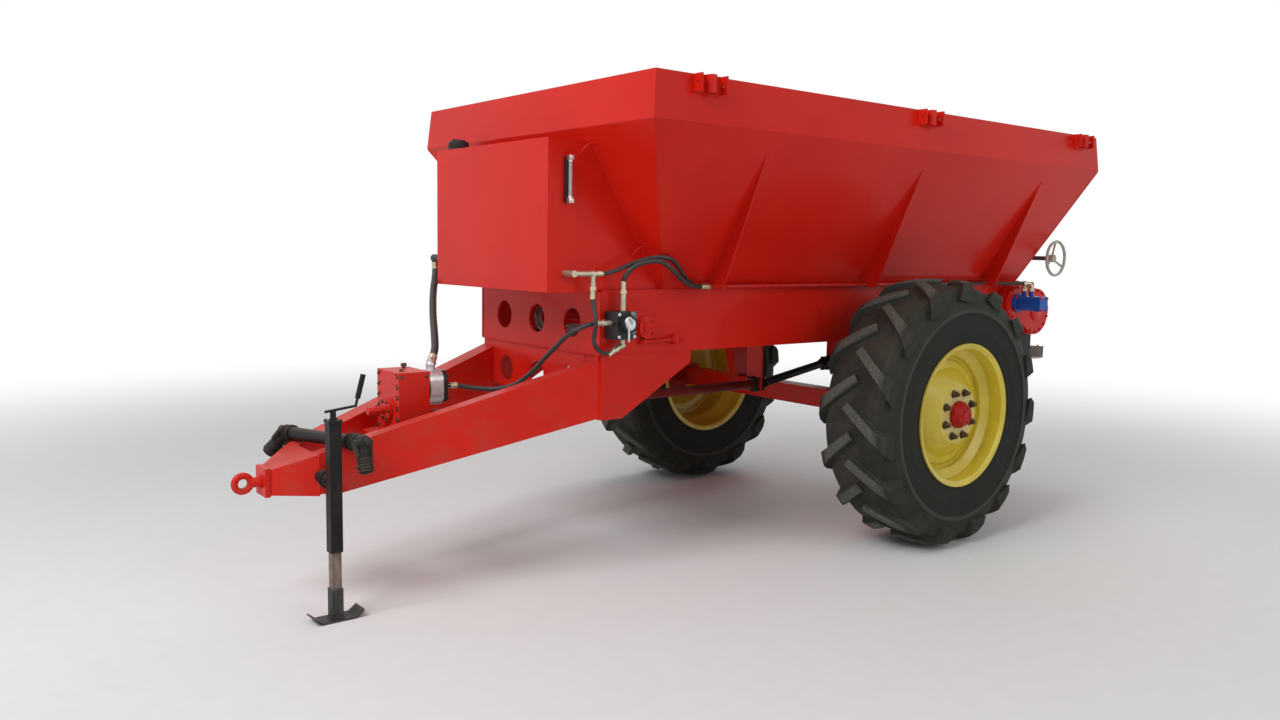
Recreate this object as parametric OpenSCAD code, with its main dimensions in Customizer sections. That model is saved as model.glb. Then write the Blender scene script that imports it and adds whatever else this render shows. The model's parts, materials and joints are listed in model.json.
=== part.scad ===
// Trailed manure spreader: sloping hopper on a box chassis, floor conveyor, rear gate on racks,
// two spreading discs, single axle, V drawbar with its own pump gearbox and a parking jack.
// Millimetres. +X points forward to the hitch, +Y to the left side, +Z up, floor at z = 0.
// Every module below is drawn with x = 0 at the wheel axle and then moved by at_axle().

/* [Wheels] */
// Radius of the tyre out to the lugs' tips
tyre_r = 704; // [680:1:740]
// Width of the tyre over its side walls
tyre_w = 430; // [400:5:450]
// Height of the tread lugs
lug_h = 36; // [25:1:45]
// Width of the tread lugs where they leave the carcass
lug_w = 58; // [50:1:64]
// Number of lugs on each side of a tyre
lug_count = 15; // [13:1:17]
// Slant of the lugs from straight across the tread
lug_slant = 37; // [33:1:44]
// Radius at which the tyre's bead sits on the rim
bead_r = 356; // [350:1:360]
// Radius of the rim's outer flange
rim_flange_r = 377; // [370:1:382]
// Width of the rim between its flanges
rim_w = 386; // [370:2:400]
// Thickness of the rim's rolled sheet
rim_t = 8; // [6:1:12]
// Distance from the middle of the tyre out to the wheel disc's outer face
disc_set = 162; // [140:1:170]
// Distance between the two tyres' middle planes
track = 1976; // [1900:2:2060]
// Radius of the circle of wheel nuts
nut_circle_r = 120; // [110:1:130]
// Number of wheel nuts
nut_count = 8; // [6:1:10]

/* [Axle] */
// Side of the square axle tube
axle_tube = 110; // [90:1:120]
// Height of the axle tube's middle below the wheel's middle
axle_drop = 24; // [0:1:40]
// Radius of the wheel spindle
spindle_r = 32; // [28:1:38]
// Radius of the wheel hub's barrel
hub_r = 70; // [60:1:80]

/* [Chassis] */
// Half width over the sills' outer faces
sill_y = 530; // [510:1:540]
// Thickness of the sill plates
sill_t = 10; // [8:1:12]
// Height of the sills' lower edge
sill_z = 1050; // [1030:1:1060]
// Height of the sills
sill_h = 300; // [290:1:310]
// Front end of the sills, forward of the axle
sill_front = 1868; // [1850:1:1880]
// Rear end of the sills, behind the axle
sill_rear = 1720; // [1710:1:1740]
// Diameter of the round holes in the front plates
plate_hole_d = 140; // [120:1:150]
// Distance between the holes in the front plates
plate_hole_pitch = 305; // [290:1:320]
// Thickness of the front plates
front_plate_t = 12; // [8:1:16]

/* [Drawbar] */
// Width of each drawbar arm
arm_w = 90; // [70:1:100]
// Half width of the drawbar at its rear end
arm_rear_y = 512; // [500:1:520]
// Half width of the drawbar at its front end
arm_front_y = 118; // [112:1:124]
// Lower edge of the arm's rear end
arm_rear_z = 760; // [750:1:770]
// Height of the arm's rear end
arm_rear_h = 265; // [250:1:280]
// Lower edge of the arm's front end
arm_front_z = 500; // [480:1:510]
// Height of the arm's front end
arm_front_h = 112; // [106:1:120]
// Where the arms' outer faces would meet the drawbar's front width, forward of the axle
nose_x = 3247; // [3230:1:3260]
// Where the arms end and the nose begins, forward of the axle
nose_rear_x = 3050; // [3020:1:3080]
// Front of the nose's end plate, forward of the axle
nose_front_x = 3236; // [3226:1:3240]
// Half width of the nose at its front
nose_half = 55; // [50:1:60]
// Lower face of the nose
nose_low = 492; // [484:1:500]
// Top of the nose at its front
nose_top = 600; // [590:1:612]
// Where the arm's lower edge turns level, forward of the axle
arm_bend_x = 2963; // [2900:1:3000]
// Hole radius of the hitch eye
eye_hole_r = 20; // [18:1:22]
// Outer radius of the hitch eye
eye_r = 47; // [44:1:52]
// Middle of the hitch eye, forward of the axle
eye_x = 3310; // [3304:1:3320]
// Height of the hitch eye's middle
eye_z = 545; // [540:1:552]
// Radius of the hitch eye's shank
shank_r = 22; // [18:1:24]

/* [Jack] */
// Place of the jack, forward of the axle
jack_x = 3040; // [3020:1:3060]
// Place of the jack, left of the middle
jack_y = 300; // [290:1:320]
// Side of the jack's outer tube
jack_side = 50; // [46:1:60]
// Wall of the jack's outer tube
jack_wall = 5; // [4:1:6]
// Lower end of the jack's outer tube
jack_low = 285; // [260:1:300]
// Upper end of the jack's outer tube
jack_top = 830; // [800:1:850]
// Length of the jack's foot
foot_len = 210; // [180:1:230]

/* [Hopper] */
// Half width of the hopper's mouth at the fold below the rim band
hopper_y = 994; // [970:1:1010]
// Front of the hopper at the fold, forward of the axle
hopper_front = 1966; // [1950:1:1980]
// Rear of the hopper at the fold, behind the axle
hopper_rear = 1583; // [1570:1:1600]
// Front of the hopper's floor opening, forward of the axle
throat_front = 1513; // [1500:1:1530]
// Rear of the hopper's floor opening, behind the axle
throat_rear = 1462; // [1450:1:1470]
// Height of the fold below the rim band
fold_z = 2065; // [2040:1:2080]
// Height of the rim band
rim_h = 201; // [180:1:220]
// How far the rim band leans in at its top
rim_lean = 18; // [10:1:24]
// Thickness of the hopper's sheet
sheet_t = 5; // [4:1:6]
// Width of the rim band's inner lip
rim_lip = 45; // [30:1:60]
// Depth of the side ribs off the wall at their lower end
rib_depth = 130; // [110:1:150]
// Thickness of the side ribs
rib_t = 10; // [8:1:14]

/* [Oil tank] */
// Front face of the oil tank, forward of the axle
tank_front = 2155; // [2140:1:2170]
// Half width of the oil tank
tank_y = 510; // [500:1:520]
// Top of the oil tank
tank_top = 2009; // [1995:1:2020]

/* [Conveyor] */
// Place of the conveyor's front shaft, forward of the axle
front_shaft_x = 1620; // [1600:1:1640]
// Place of the conveyor's rear shaft, behind the axle
rear_shaft_x = 1630; // [1620:1:1640]
// Height of the conveyor's shafts
shaft_z = 1172; // [1168:1:1176]
// Radius of the conveyor's shafts
shaft_r = 25; // [20:1:28]
// Pitch radius of the conveyor's sprockets
sprocket_r = 58; // [56:1:60]
// Distance of each chain from the middle
chain_y = 300; // [280:1:320]
// Number of slats on the conveyor
slat_count = 22; // [18:1:24]

/* [Rear gate] */
// Half width of the gate
gate_y = 440; // [420:1:450]
// Lower edge of the closed gate
gate_z = 1275; // [1270:1:1280]
// Height of the gate, along its slope
gate_h = 300; // [280:1:310]
// Thickness of the gate
gate_t = 6; // [5:1:8]
// Travel of the gate, along its slope
gate_travel = 240; // [200:1:250]
// Module of the racks and pinions
gear_module = 6; // [5:1:6]
// Teeth on each pinion
pinion_teeth = 11; // [10:1:12]
// Diameter of the gate's handwheel
handwheel_d = 232; // [210:1:260]

/* [Spreading discs] */
// Place of the discs' axes, behind the axle
disc_x = 1822; // [1810:1:1840]
// Distance of each disc's axis from the middle
disc_y = 282; // [276:1:290]
// Radius of the spreading discs
disc_r = 250; // [230:1:256]
// Height of the discs' upper face
disc_z = 850; // [840:1:860]
// Height of the vanes
vane_h = 70; // [60:1:80]
// Number of vanes on each disc
vane_count = 4; // [3:1:6]

/* [Clearances] */
// Radial clearance of a shaft that turns in a bore
run_gap = 0.05; // [0.02:0.01:0.09]
// Clearance between seated pieces
seat_gap = 0.3; // [0.2:0.1:0.5]
// Clearance of the jack's leg in its tube
jack_gap = 0.4; // [0.3:0.1:0.6]

/* [Hidden] */
$fn = 72;
red = [0.80, 0.05, 0.04];
yellow = [0.93, 0.83, 0.10];
black = [0.07, 0.07, 0.07];
rubber = [0.11, 0.11, 0.12];
steel = [0.62, 0.60, 0.56];
blue = [0.05, 0.25, 0.70];
brown = [0.33, 0.25, 0.22];
pale = [0.80, 0.80, 0.80];

axle_z = tyre_r;
wheel_y = track / 2;
sill_top = sill_z + sill_h;
rear_reach = disc_x + disc_r;
front_reach = eye_x + eye_r;
axle_x = (rear_reach - front_reach) / 2;

module at_axle() { translate([axle_x, 0, 0]) children(); }
// side = 1 on the left, -1 on the right
module on_side(side) { if (side > 0) children(); else mirror([0, 1, 0]) children(); }
// A cylinder along Y from y0 to y1
module rod_y(x, z, r, y0, y1) {
    translate([x, y1, z]) rotate([90, 0, 0]) cylinder(r = r, h = y1 - y0);
}
// A cylinder along X from x0 to x1
module rod_x(y, z, r, x0, x1) {
    translate([x0, y, z]) rotate([0, 90, 0]) cylinder(r = r, h = x1 - x0);
}
// A box between two corners
module span(low, high) { translate(low) cube(high - low); }
// A plate in the X-Z plane, drawn as points [x, z], from y0 to y1
module plate_xz(points, y0, y1) {
    translate([0, y1, 0]) rotate([90, 0, 0]) linear_extrude(y1 - y0) polygon(points);
}
// A plate across the machine, drawn as points [y, z], from x0 to x1
module plate_yz(points, x0, x1) {
    translate([x0, 0, 0]) rotate([90, 0, 90]) linear_extrude(x1 - x0) polygon(points);
}

// Wheels
tyre_side = tyre_w / 2;
bead_y = rim_w / 2 - 8.4;
carcass_r = tyre_r - lug_h;
wall_t = 18;
crown_t = 24;
ring_r = 545;
ring_half = 8;
// The carcass below the lugs: inner wall first, then round the outside
module tyre_profile() {
    polygon([
        [bead_r, -bead_y], [bead_r, -bead_y + 44], [bead_r + 60, -tyre_side + wall_t + 8],
        [carcass_r - 100, 8 - tyre_side + wall_t], [carcass_r - 50, 14 - tyre_side + 2 * wall_t],
        [carcass_r - crown_t, -tyre_side + 80], [carcass_r - crown_t, tyre_side - 80],
        [carcass_r - 50, tyre_side - 2 * wall_t - 14], [carcass_r - 100, tyre_side - wall_t - 8],
        [bead_r + 60, tyre_side - wall_t - 8], [bead_r, bead_y - 44], [bead_r, bead_y],
        [bead_r + 9, bead_y + 7.8], [rim_flange_r, bead_y + 11.8], [bead_r + 100, tyre_side - 8],
        [ring_r - 2 * ring_half, tyre_side - 6], [ring_r - ring_half, tyre_side], [ring_r + ring_half, tyre_side],
        [ring_r + 2 * ring_half, tyre_side - 6], [carcass_r - 70, tyre_side - 16], [carcass_r - 24, tyre_side - 36],
        [carcass_r - 4, tyre_side - 70], [carcass_r, tyre_side - 125], [carcass_r, 125 - tyre_side],
        [carcass_r - 4, 70 - tyre_side], [carcass_r - 24, 36 - tyre_side], [carcass_r - 70, 16 - tyre_side],
        [ring_r + 2 * ring_half, 6 - tyre_side], [ring_r + ring_half, -tyre_side], [ring_r - ring_half, -tyre_side],
        [ring_r - 2 * ring_half, 6 - tyre_side], [bead_r + 100, 8 - tyre_side], [rim_flange_r, -bead_y - 11.8],
        [bead_r + 9, -bead_y - 7.8]
    ]);
}
// The band that the lugs of one side are cut from: crowned tread, then down the shoulder
lug_root = 8;
lug_head = -18;
// How much each side of a lug draws in for each unit of height
lug_flank = 0.25;
module lug_band() {
    polygon([
        [carcass_r - lug_root, 2 * lug_head], [tyre_r, 2 * lug_head], [tyre_r, tyre_side - 155], [tyre_r - 4, tyre_side - 95],
        [tyre_r - 14, tyre_side - 45], [tyre_r - 24, tyre_side - 19], [tyre_r - 52, tyre_side - 4],
        [tyre_r - 108, tyre_side - 1], [tyre_r - 126, tyre_side - 14], [carcass_r - 60, tyre_side - 34],
        [carcass_r - 32, tyre_side - 46], [carcass_r - 12, tyre_side - 80], [carcass_r - lug_root, tyre_side - 125]
    ]);
}
// Both rows of lugs: side of the tread, turn of the row's first lug
LUG_SIDE = 0;
LUG_TURN = 1;
lug_rows = [
    [1, 6.5],
    [-1, 6.5 + 180 / lug_count]
];
module lug_bar(turn) {
    deep = 100;
    tall = deep + 2 * lug_h;
    foot = lug_w / 2 + lug_flank * deep;
    head = lug_w / 2 - lug_flank * (tall - deep);
    rotate([0, -turn, 0]) translate([carcass_r - deep, lug_head, 0]) rotate([-lug_slant - 90, 0, 0])
        linear_extrude(1.6 * tyre_side) polygon([[0, -foot], [tall, -head], [tall, head], [0, foot]]);
}
module lug_row(row) {
    on_side(row[LUG_SIDE]) intersection() {
        rotate([90, 0, 0]) mirror([0, 0, 1]) rotate_extrude() lug_band();
        union() for (i = [0 : lug_count - 1]) lug_bar(row[LUG_TURN] + i * 360 / lug_count);
    }
}
module tyre(side) {
    color(rubber) at_axle() on_side(side) translate([0, wheel_y, axle_z]) union() {
        rotate([90, 0, 0]) rotate_extrude() tyre_profile();
        for (row = lug_rows) lug_row(row);
    }
}

rim_half = rim_w / 2;
well_r = bead_r - 44;
module rim_profile() {
    polygon([
        [rim_flange_r, rim_half + 14], [rim_flange_r, rim_half + 4], [bead_r + 9, rim_half],
        [bead_r - seat_gap, rim_half - 8], [bead_r - seat_gap, rim_half - 66], [well_r, rim_half - 96],
        [well_r, -rim_half + 130], [bead_r - seat_gap, -rim_half + 66], [bead_r - seat_gap, 8 - rim_half],
        [bead_r + 9, -rim_half], [rim_flange_r, -rim_half - 4], [rim_flange_r, -rim_half - 14],
        [bead_r + 2, -rim_half - 8], [bead_r - seat_gap - rim_t, -rim_half - 2],
        [bead_r - seat_gap - rim_t, -rim_half + 62], [well_r - rim_t, -rim_half + 126],
        [well_r - rim_t, rim_half - 100], [bead_r - seat_gap - rim_t, rim_half - 70],
        [bead_r - seat_gap - rim_t, rim_half + 2], [bead_r + 2, rim_half + 8]
    ]);
}
disc_t = 12;
disc_flat_r = 155;
disc_cone_r = 240;
disc_cone_y = 85;
disc_edge_y = 70;
disc_edge_r = well_r - rim_t + 1;
// The wheel disc: flat in the middle, coned back to the rim's well
module wheel_disc_profile() {
    polygon([
        [hub_r + run_gap, disc_set], [disc_flat_r, disc_set], [disc_cone_r, disc_cone_y],
        [disc_edge_r, disc_edge_y], [disc_edge_r, disc_edge_y - disc_t], [disc_cone_r - 4, disc_cone_y - disc_t],
        [disc_flat_r - 5, disc_set - disc_t], [hub_r + run_gap, disc_set - disc_t]
    ]);
}
module wheel_rim(side) {
    color(yellow) at_axle() on_side(side) translate([0, wheel_y, axle_z]) rotate([90, 0, 0]) mirror([0, 0, 1])
        union() {
            rotate_extrude() rim_profile();
            rotate_extrude() wheel_disc_profile();
        }
}

hub_flange_r = nut_circle_r + 26;
hub_flange_t = 16;
hub_in = 200;
cap_len = 46;
barrel_out = 20;
// Hub with its flange behind the wheel disc, the nuts and the red cap in front of it
module hub(side) {
    face = wheel_y + disc_set;
    color(red) at_axle() on_side(side) difference() {
        union() {
            rod_y(0, axle_z, hub_r, face - hub_in, face + barrel_out);
            rod_y(0, axle_z, hub_flange_r, face - disc_t - hub_flange_t, face - disc_t);
            translate([0, face + barrel_out, axle_z]) rotate([-90, 0, 0])
                cylinder(r1 = hub_r - 4, r2 = hub_r - 16, h = cap_len - barrel_out);
            for (i = [0 : nut_count - 1]) rotate_nut(i, face) {
                cylinder(r = 17, h = 20, $fn = 6);
                cylinder(r = 10, h = 34);
            }
        }
        rod_y(0, axle_z, spindle_r + run_gap, face - hub_in - 1, face + barrel_out - 4);
    }
}
module rotate_nut(i, face) {
    a = (i + 0.5) * 360 / nut_count;
    translate([nut_circle_r * cos(a), face, axle_z + nut_circle_r * sin(a)]) rotate([-90, 0, 0]) children();
}

// Axle
axle_mid_z = axle_z - axle_drop;
spindle_in = wheel_y + disc_set - hub_in - 4;
module axle_beam() {
    color(red) at_axle() {
        span([-axle_tube / 2, -spindle_in, axle_mid_z - axle_tube / 2],
            [axle_tube / 2, spindle_in, axle_mid_z + axle_tube / 2]);
        for (side = [1, -1]) on_side(side) {
            rod_y(0, axle_z, spindle_r, spindle_in, wheel_y + disc_set + barrel_out - 6);
        }
    }
}
seat_y = 460;
seat_w = 70;
module axle_seats() {
    top = sill_z;
    low = axle_mid_z + axle_tube / 2;
    color(red) at_axle() for (side = [1, -1]) on_side(side) {
        plate_xz([[-150, top], [150, top], [axle_tube / 2, low], [-axle_tube / 2, low]], seat_y, seat_y + seat_w);
    }
}

// Chassis
flange_w = 70;
module sill(side) {
    color(red) at_axle() on_side(side) difference() {
        union() {
            span([-sill_rear, sill_y - sill_t, sill_z], [sill_front, sill_y, sill_top]);
            span([-sill_rear, sill_y - flange_w, sill_z], [sill_front, sill_y - sill_t, sill_z + sill_t]);
        }
        rod_y(front_shaft_x, shaft_z, shaft_r + 3, sill_y - sill_t - 1, sill_y + 1);
        rod_y(-rear_shaft_x, shaft_z, shaft_r + 3, sill_y - sill_t - 1, sill_y + 1);
    }
    // pointed plate on the left sill
    if (side > 0) color(red) at_axle() plate_xz([
        [point_x - point_w / 2, sill_z + point_top], [point_x + point_w / 2, sill_z + point_top],
        [point_x + point_tip, sill_z + point_low], [point_x - point_tip, sill_z + point_low]
    ], sill_y, sill_y + point_t);
}
point_x = 311;
point_w = 239;
point_tip = 11;
point_low = 19;
point_top = 215;
point_t = 6;
front_plate_top = sill_top - 10;
module front_plate() {
    color(red) at_axle() difference() {
        span([sill_front, -sill_y, sill_z], [sill_front + front_plate_t, sill_y, front_plate_top]);
        for (i = [-1, 0, 1]) rod_x(i * plate_hole_pitch, sill_z + 140, plate_hole_d / 2,
            sill_front - 1, sill_front + front_plate_t + 1);
    }
}
member_xs = [-1300, -346, 356, 1300];
member_w = 80;
member_h = 26;
module cross_members() {
    inner = sill_y - sill_t;
    color(red) at_axle() for (x = member_xs) {
        span([x - member_w / 2, -inner, sill_z + sill_t], [x + member_w / 2, inner, sill_z + sill_t + member_h]);
    }
}
gusset_rear_x = 1331;
gusset_w = 90;
module gusset(side) {
    color(red) at_axle() on_side(side)
        plate_xz([[sill_front, sill_z], [gusset_rear_x, sill_z], [gusset_rear_x, sill_z - 57],
            [sill_front - 120, arm_rear_z - 8], [sill_front, arm_rear_z - 8]], sill_y - gusset_w, sill_y);
}

// Drawbar
arm_angle = atan((arm_rear_y - arm_front_y) / (nose_x - sill_front));
arm_scale = 1 / cos(arm_angle);
module drawbar_arm(side) {
    long = (nose_x - sill_front) * arm_scale;
    bend = (arm_bend_x - sill_front) * arm_scale;
    color(red) at_axle() on_side(side) intersection() {
        translate([sill_front, arm_rear_y, 0]) rotate([0, 0, -arm_angle])
            plate_xz([
                [-80, arm_rear_z + 80 * (arm_rear_z - arm_front_z) / bend], [bend, arm_front_z],
                [long + 80, arm_front_z], [long + 80, arm_front_z + arm_front_h - 80 * arm_top_fall(long)],
                [-80, arm_rear_z + arm_rear_h + 80 * arm_top_fall(long)]
            ], -arm_w, 0);
        span([sill_front, 0, 0], [nose_rear_x, 2 * sill_y, 2 * sill_z]);
    }
}
function arm_top_fall(long) = (arm_rear_z + arm_rear_h - arm_front_z - arm_front_h) / long;
// Outer face of the arm at a place along X
function arm_y(x) = arm_rear_y - (x - sill_front) * (arm_rear_y - arm_front_y) / (nose_x - sill_front);
function arm_inner_y(x) = arm_y(x) - arm_w * arm_scale;
function arm_top(x) = arm_rear_z + arm_rear_h
    - (x - sill_front) * (arm_rear_z + arm_rear_h - arm_front_z - arm_front_h) / (nose_x - sill_front);
drawbar_plate_low = arm_rear_z + 62;
module drawbar_plate() {
    x1 = sill_front + front_plate_t;
    inner = arm_inner_y(x1);
    color(red) at_axle() difference() {
        plate_yz([[-inner, drawbar_plate_low], [inner, drawbar_plate_low], [inner, sill_z], [-inner, sill_z]],
            sill_front, x1);
        for (i = [-1, 0, 1]) rod_x(i * (plate_hole_pitch - 20), sill_z - 137, plate_hole_d / 2 - 5, sill_front - 1, x1 + 1);
    }
}
nose_plate_t = 22;
nut_pocket_x = 3112;
nut_pocket_y = 60;
module drawbar_nose() {
    x1 = nose_front_x - nose_plate_t;
    y0 = arm_y(nose_rear_x);
    z0 = arm_top(nose_rear_x) - 4;
    color(red) at_axle() difference() {
        union() {
            intersection() {
                plate_xz([[nose_rear_x, nose_low], [x1, nose_low], [x1, nose_top], [nose_rear_x, z0]], -y0, y0);
                linear_extrude(sill_z) polygon([[nose_rear_x, -y0], [x1, -nose_half], [x1, nose_half], [nose_rear_x, y0]]);
            }
            span([x1, -nose_half - 4, nose_low - 6], [nose_front_x, nose_half + 4, nose_top + 6]);
        }
        // room behind the block for the shank's nut
        span([nose_rear_x - 1, -nut_pocket_y, nose_low + 12], [nut_pocket_x, nut_pocket_y, nose_top]);
        rod_x(0, eye_z, shank_r + run_gap, nut_pocket_x - 1, nose_front_x + 1);
    }
}
nut_len = 30;
module hitch_eye() {
    front = nose_front_x + seat_gap;
    back = nut_pocket_x - seat_gap;
    color(red) at_axle() difference() {
        union() {
            translate([eye_x, 0, eye_z]) rotate([90, 0, 0]) rotate_extrude() eye_section();
            rod_x(0, eye_z, shank_r, back - nut_len, eye_x - eye_hole_r - 10);
            rod_x(0, eye_z, shank_r + 7, front, front + 10);
            rod_x(0, eye_z, shank_r + 11, back - nut_len, back);
        }
        rod_y(eye_x, eye_z, eye_hole_r, -eye_r, eye_r);
    }
}
module eye_section() {
    mid = (eye_r + eye_hole_r) / 2;
    half = (eye_r - eye_hole_r) / 2;
    translate([mid, 0]) circle(r = half);
    translate([eye_hole_r - 2, -half * 0.6]) square([half, half * 1.2]);
}

// Jack
module jack_section(side_len) { translate([-side_len / 2, -side_len / 2]) square(side_len); }
jack_arm_y = arm_y(jack_x);
cap_t = 10;
module jack_tube() {
    color(black) at_axle() union() {
        translate([jack_x, jack_y, 0]) difference() {
            translate([0, 0, jack_low]) linear_extrude(jack_top - jack_low) jack_section(jack_side);
            translate([0, 0, jack_low - 1]) linear_extrude(jack_top - jack_low - 19) jack_section(jack_side - 2 * jack_wall);
        }
        translate([jack_x, jack_y, jack_top - cap_t]) linear_extrude(cap_t) jack_section(jack_side + 8);
        // stub that carries the jack on the arm
        difference() {
            rod_y(jack_x, jack_mount_z, 30, jack_arm_y + seat_gap - 20, jack_y - jack_side / 2);
            translate([sill_front, arm_rear_y + seat_gap, 0]) rotate([0, 0, -arm_angle])
                span([0, -arm_rear_y, 0], [nose_x, 0, sill_z]);
        }
    }
}
jack_mount_z = 575;
module jack_crank() {
    color(black) at_axle() translate([jack_x, jack_y, 0]) {
        union() {
            translate([0, 0, jack_top]) cylinder(r = 12, h = crank_z + 2 * crank_r);
            rod_between([crank_front, 0, jack_top + crank_z + crank_r], crank_elbow, crank_r);
            translate(crank_elbow) rotate([15, 20, 0]) sphere(r = crank_r + 0.6);
            rod_between(crank_elbow, crank_elbow + [-8, 0, 30], crank_r);
            rod_between(crank_elbow + [-8, 0, 30], crank_elbow + [-34, 0, 128], 2 * crank_r);
        }
    }
}
crank_r = 5.5;
crank_z = 30;
crank_front = 34;
crank_elbow = [-96, 0, jack_top + 50];
leg_side = jack_side - 2 * jack_wall - 2 * jack_gap;
foot_t = 8;
foot_rise = 26;
module jack_leg() {
    color(brown) at_axle() translate([jack_x, jack_y, 0]) union() {
        translate([0, 0, foot_t]) linear_extrude(jack_low + 250 - foot_t) jack_section(leg_side);
        translate([0, 0, foot_t]) linear_extrude(125) jack_section(jack_side - 2);
        // skid foot with its ends turned up
        translate([0, -45, 0]) rotate([90, 0, 0]) mirror([0, 0, 1]) linear_extrude(90) polygon([
            [-foot_len / 2, foot_rise + foot_t], [-foot_len / 2 + 34, foot_t], [foot_len / 2 - 34, foot_t],
            [foot_len / 2, foot_rise + foot_t], [foot_len / 2, foot_rise], [foot_len / 2 - 32, 0],
            [32 - foot_len / 2, 0], [-foot_len / 2, foot_rise]
        ]);
    }
}

// Pump gearbox on the drawbar
box_x0 = 2515;
box_x1 = 2665;
box_y = 112;
drive_z = axle_mid_z + axle_tube / 2 + 20;
box_low = drive_z - 65;
box_top = drive_z + 220;
shelf_t = 12;
input_z = drive_z + 45;
input_r = 17.5;
module pump_gearbox() {
    color(red) at_axle() union() {
        span([box_x0, -box_y, box_low], [box_x1, box_y, box_top]);
        rod_x(0, input_z, 52, box_x1, box_x1 + 18);
        rod_x(0, input_z, input_r, box_x1 + 18, box_x1 + 98);
        // shelf between the arms
        linear_extrude_z(box_low - shelf_t, shelf_t) polygon([
            [box_x0 - 60, -arm_inner_y(box_x0 - 60)], [box_x1 + 50, -arm_inner_y(box_x1 + 50)],
            [box_x1 + 50, arm_inner_y(box_x1 + 50)], [box_x0 - 60, arm_inner_y(box_x0 - 60)]
        ]);
    }
}
module linear_extrude_z(z, h) { translate([0, 0, z]) linear_extrude(h) children(); }
pump_z = drive_z + 133;
pump_len = 125;
pump_r = 82;
pump_half = 52;
// An upright block with round top and bottom, drawn in from its full size by inset
module pump_block(x0, x1, inset) {
    r = pump_half - inset;
    for (dz = [-30, 30]) rod_x(0, pump_z + dz, r, x0, x1);
    span([x0, -r, pump_z - 30], [x1, r, pump_z + 30]);
}
module oil_pump() {
    x0 = box_x0 - pump_len;
    color(pale) at_axle() union() {
        rod_x(0, pump_z, pump_r, box_x0 - 22, box_x0);
        pump_block(x0 + 24, box_x0 - 22, 0);
        pump_block(x0, x0 + 24, 5);
        // suction elbow
        translate([suction_foot[0], suction_foot[1], pump_z + 80]) cylinder(r = 20, h = suction_foot[2] - pump_z - 80);
        translate(suction_foot) sphere(r = 22);
        translate(suction_foot) rotate([0, acos(suction_dir[2]), atan2(suction_dir[1], suction_dir[0])]) cylinder(r = 20, h = 30);
        rod_x(10, pump_z, 16, x0 - 26, x0);
    }
}
drive_r = 26;
rear_drive_z = drive_z + 90;
hanger_xs = [350, -352];
hanger_t = 12;
cardan_r = 24;
yoke_r = 34;
flange_r = 44;
// Level shaft from the gearbox to the first hanger
module driveshaft_front() {
    color(black) at_axle() rod_x(0, drive_z, drive_r, hanger_xs[0] + hanger_t, box_x0);
}
// Jointed shaft over the axle to the second hanger, then level to the discs' gear case
module driveshaft_rear() {
    a = [hanger_xs[0] - 60, drive_z];
    b = [hanger_xs[1] + hanger_t + 100, rear_drive_z];
    long = norm(b - a);
    tilt = atan2(b[1] - a[1], a[0] - b[0]);
    color(black) at_axle() union() {
        rod_x(0, drive_z, yoke_r - 6, a[0], hanger_xs[0]);
        translate([a[0], 0, a[1]]) sphere(r = yoke_r);
        translate([a[0], 0, a[1]]) rotate([0, tilt - 90, 0]) cylinder(r = cardan_r, h = long);
        translate([b[0], 0, b[1]]) sphere(r = yoke_r);
        rod_x(0, rear_drive_z, yoke_r - 6, hanger_xs[1] + hanger_t, b[0]);
        rod_x(0, drive_z, flange_r, a[0] + yoke_r + 2, a[0] + yoke_r + 14);
        rod_x(0, rear_drive_z, flange_r, b[0] - yoke_r - 14, b[0] - yoke_r - 2);
    }
}
module shaft_hangers() {
    zs = [drive_z, rear_drive_z];
    color(red) at_axle() for (i = [0, 1])
        plate_yz([[-60, zs[i] - 50], [60, zs[i] - 50], [60, sill_z + sill_t], [-60, sill_z + sill_t]],
            hanger_xs[i], hanger_xs[i] + hanger_t);
}

// Loose shaft that lies across both arms, with a joint and a hanging yoke at each end
pto_r = 28;
pto_near = [2972, 190];
pto_far = [3038, -160];
function arm_surface(p) = arm_rear_z + arm_rear_h - arm_top_fall((nose_x - sill_front) * arm_scale)
    * ((p[0] - sill_front) * cos(arm_angle) + (arm_rear_y - abs(p[1])) * sin(arm_angle));
module pto_shaft() {
    near = arm_seat(pto_near, 2.2);
    far = arm_seat(pto_far, 3);
    d = unit(near - far);
    a = near + 168 * d;
    b = far - 48 * d;
    color(black) at_axle() union() {
        rod_between(b, a, pto_r - 6);
        rod_between(far - 14 * d, near + 90 * d, pto_r);
        translate(a) sphere(r = pto_r + 8);
        translate(b) sphere(r = pto_r + 8);
        rod_between(a, a + [0, 40, -115], pto_r - 1);
        rod_between(b, b + [72, -50, -92], pto_r - 1);
    }
}
// A point above an arm's top at a place [x, y], for a shaft with this much play on its slope
function arm_seat(p, play) = [p[0], p[1], arm_surface(p) + pto_r + play];

// Hopper walls, each a mitred plate: an outer face and an inner face set in by the sheet
side_slope = (hopper_y - sill_y) / (fold_z - sill_top);
front_slope = (hopper_front - throat_front) / (fold_z - sill_top);
rear_slope = (hopper_rear - throat_rear) / (fold_z - sill_top);
side_in = sheet_t * sqrt(1 + side_slope * side_slope);
front_in = sheet_t * sqrt(1 + front_slope * front_slope);
rear_in = sheet_t * sqrt(1 + rear_slope * rear_slope);
// Corners of the hopper at height z: [rear x, front x, half width]
function hopper_at(z, inset) = [
    -throat_rear - (z - sill_top) * rear_slope + inset * rear_in,
    throat_front + (z - sill_top) * front_slope - inset * front_in,
    sill_y + (z - sill_top) * side_slope - inset * side_in
];
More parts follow.
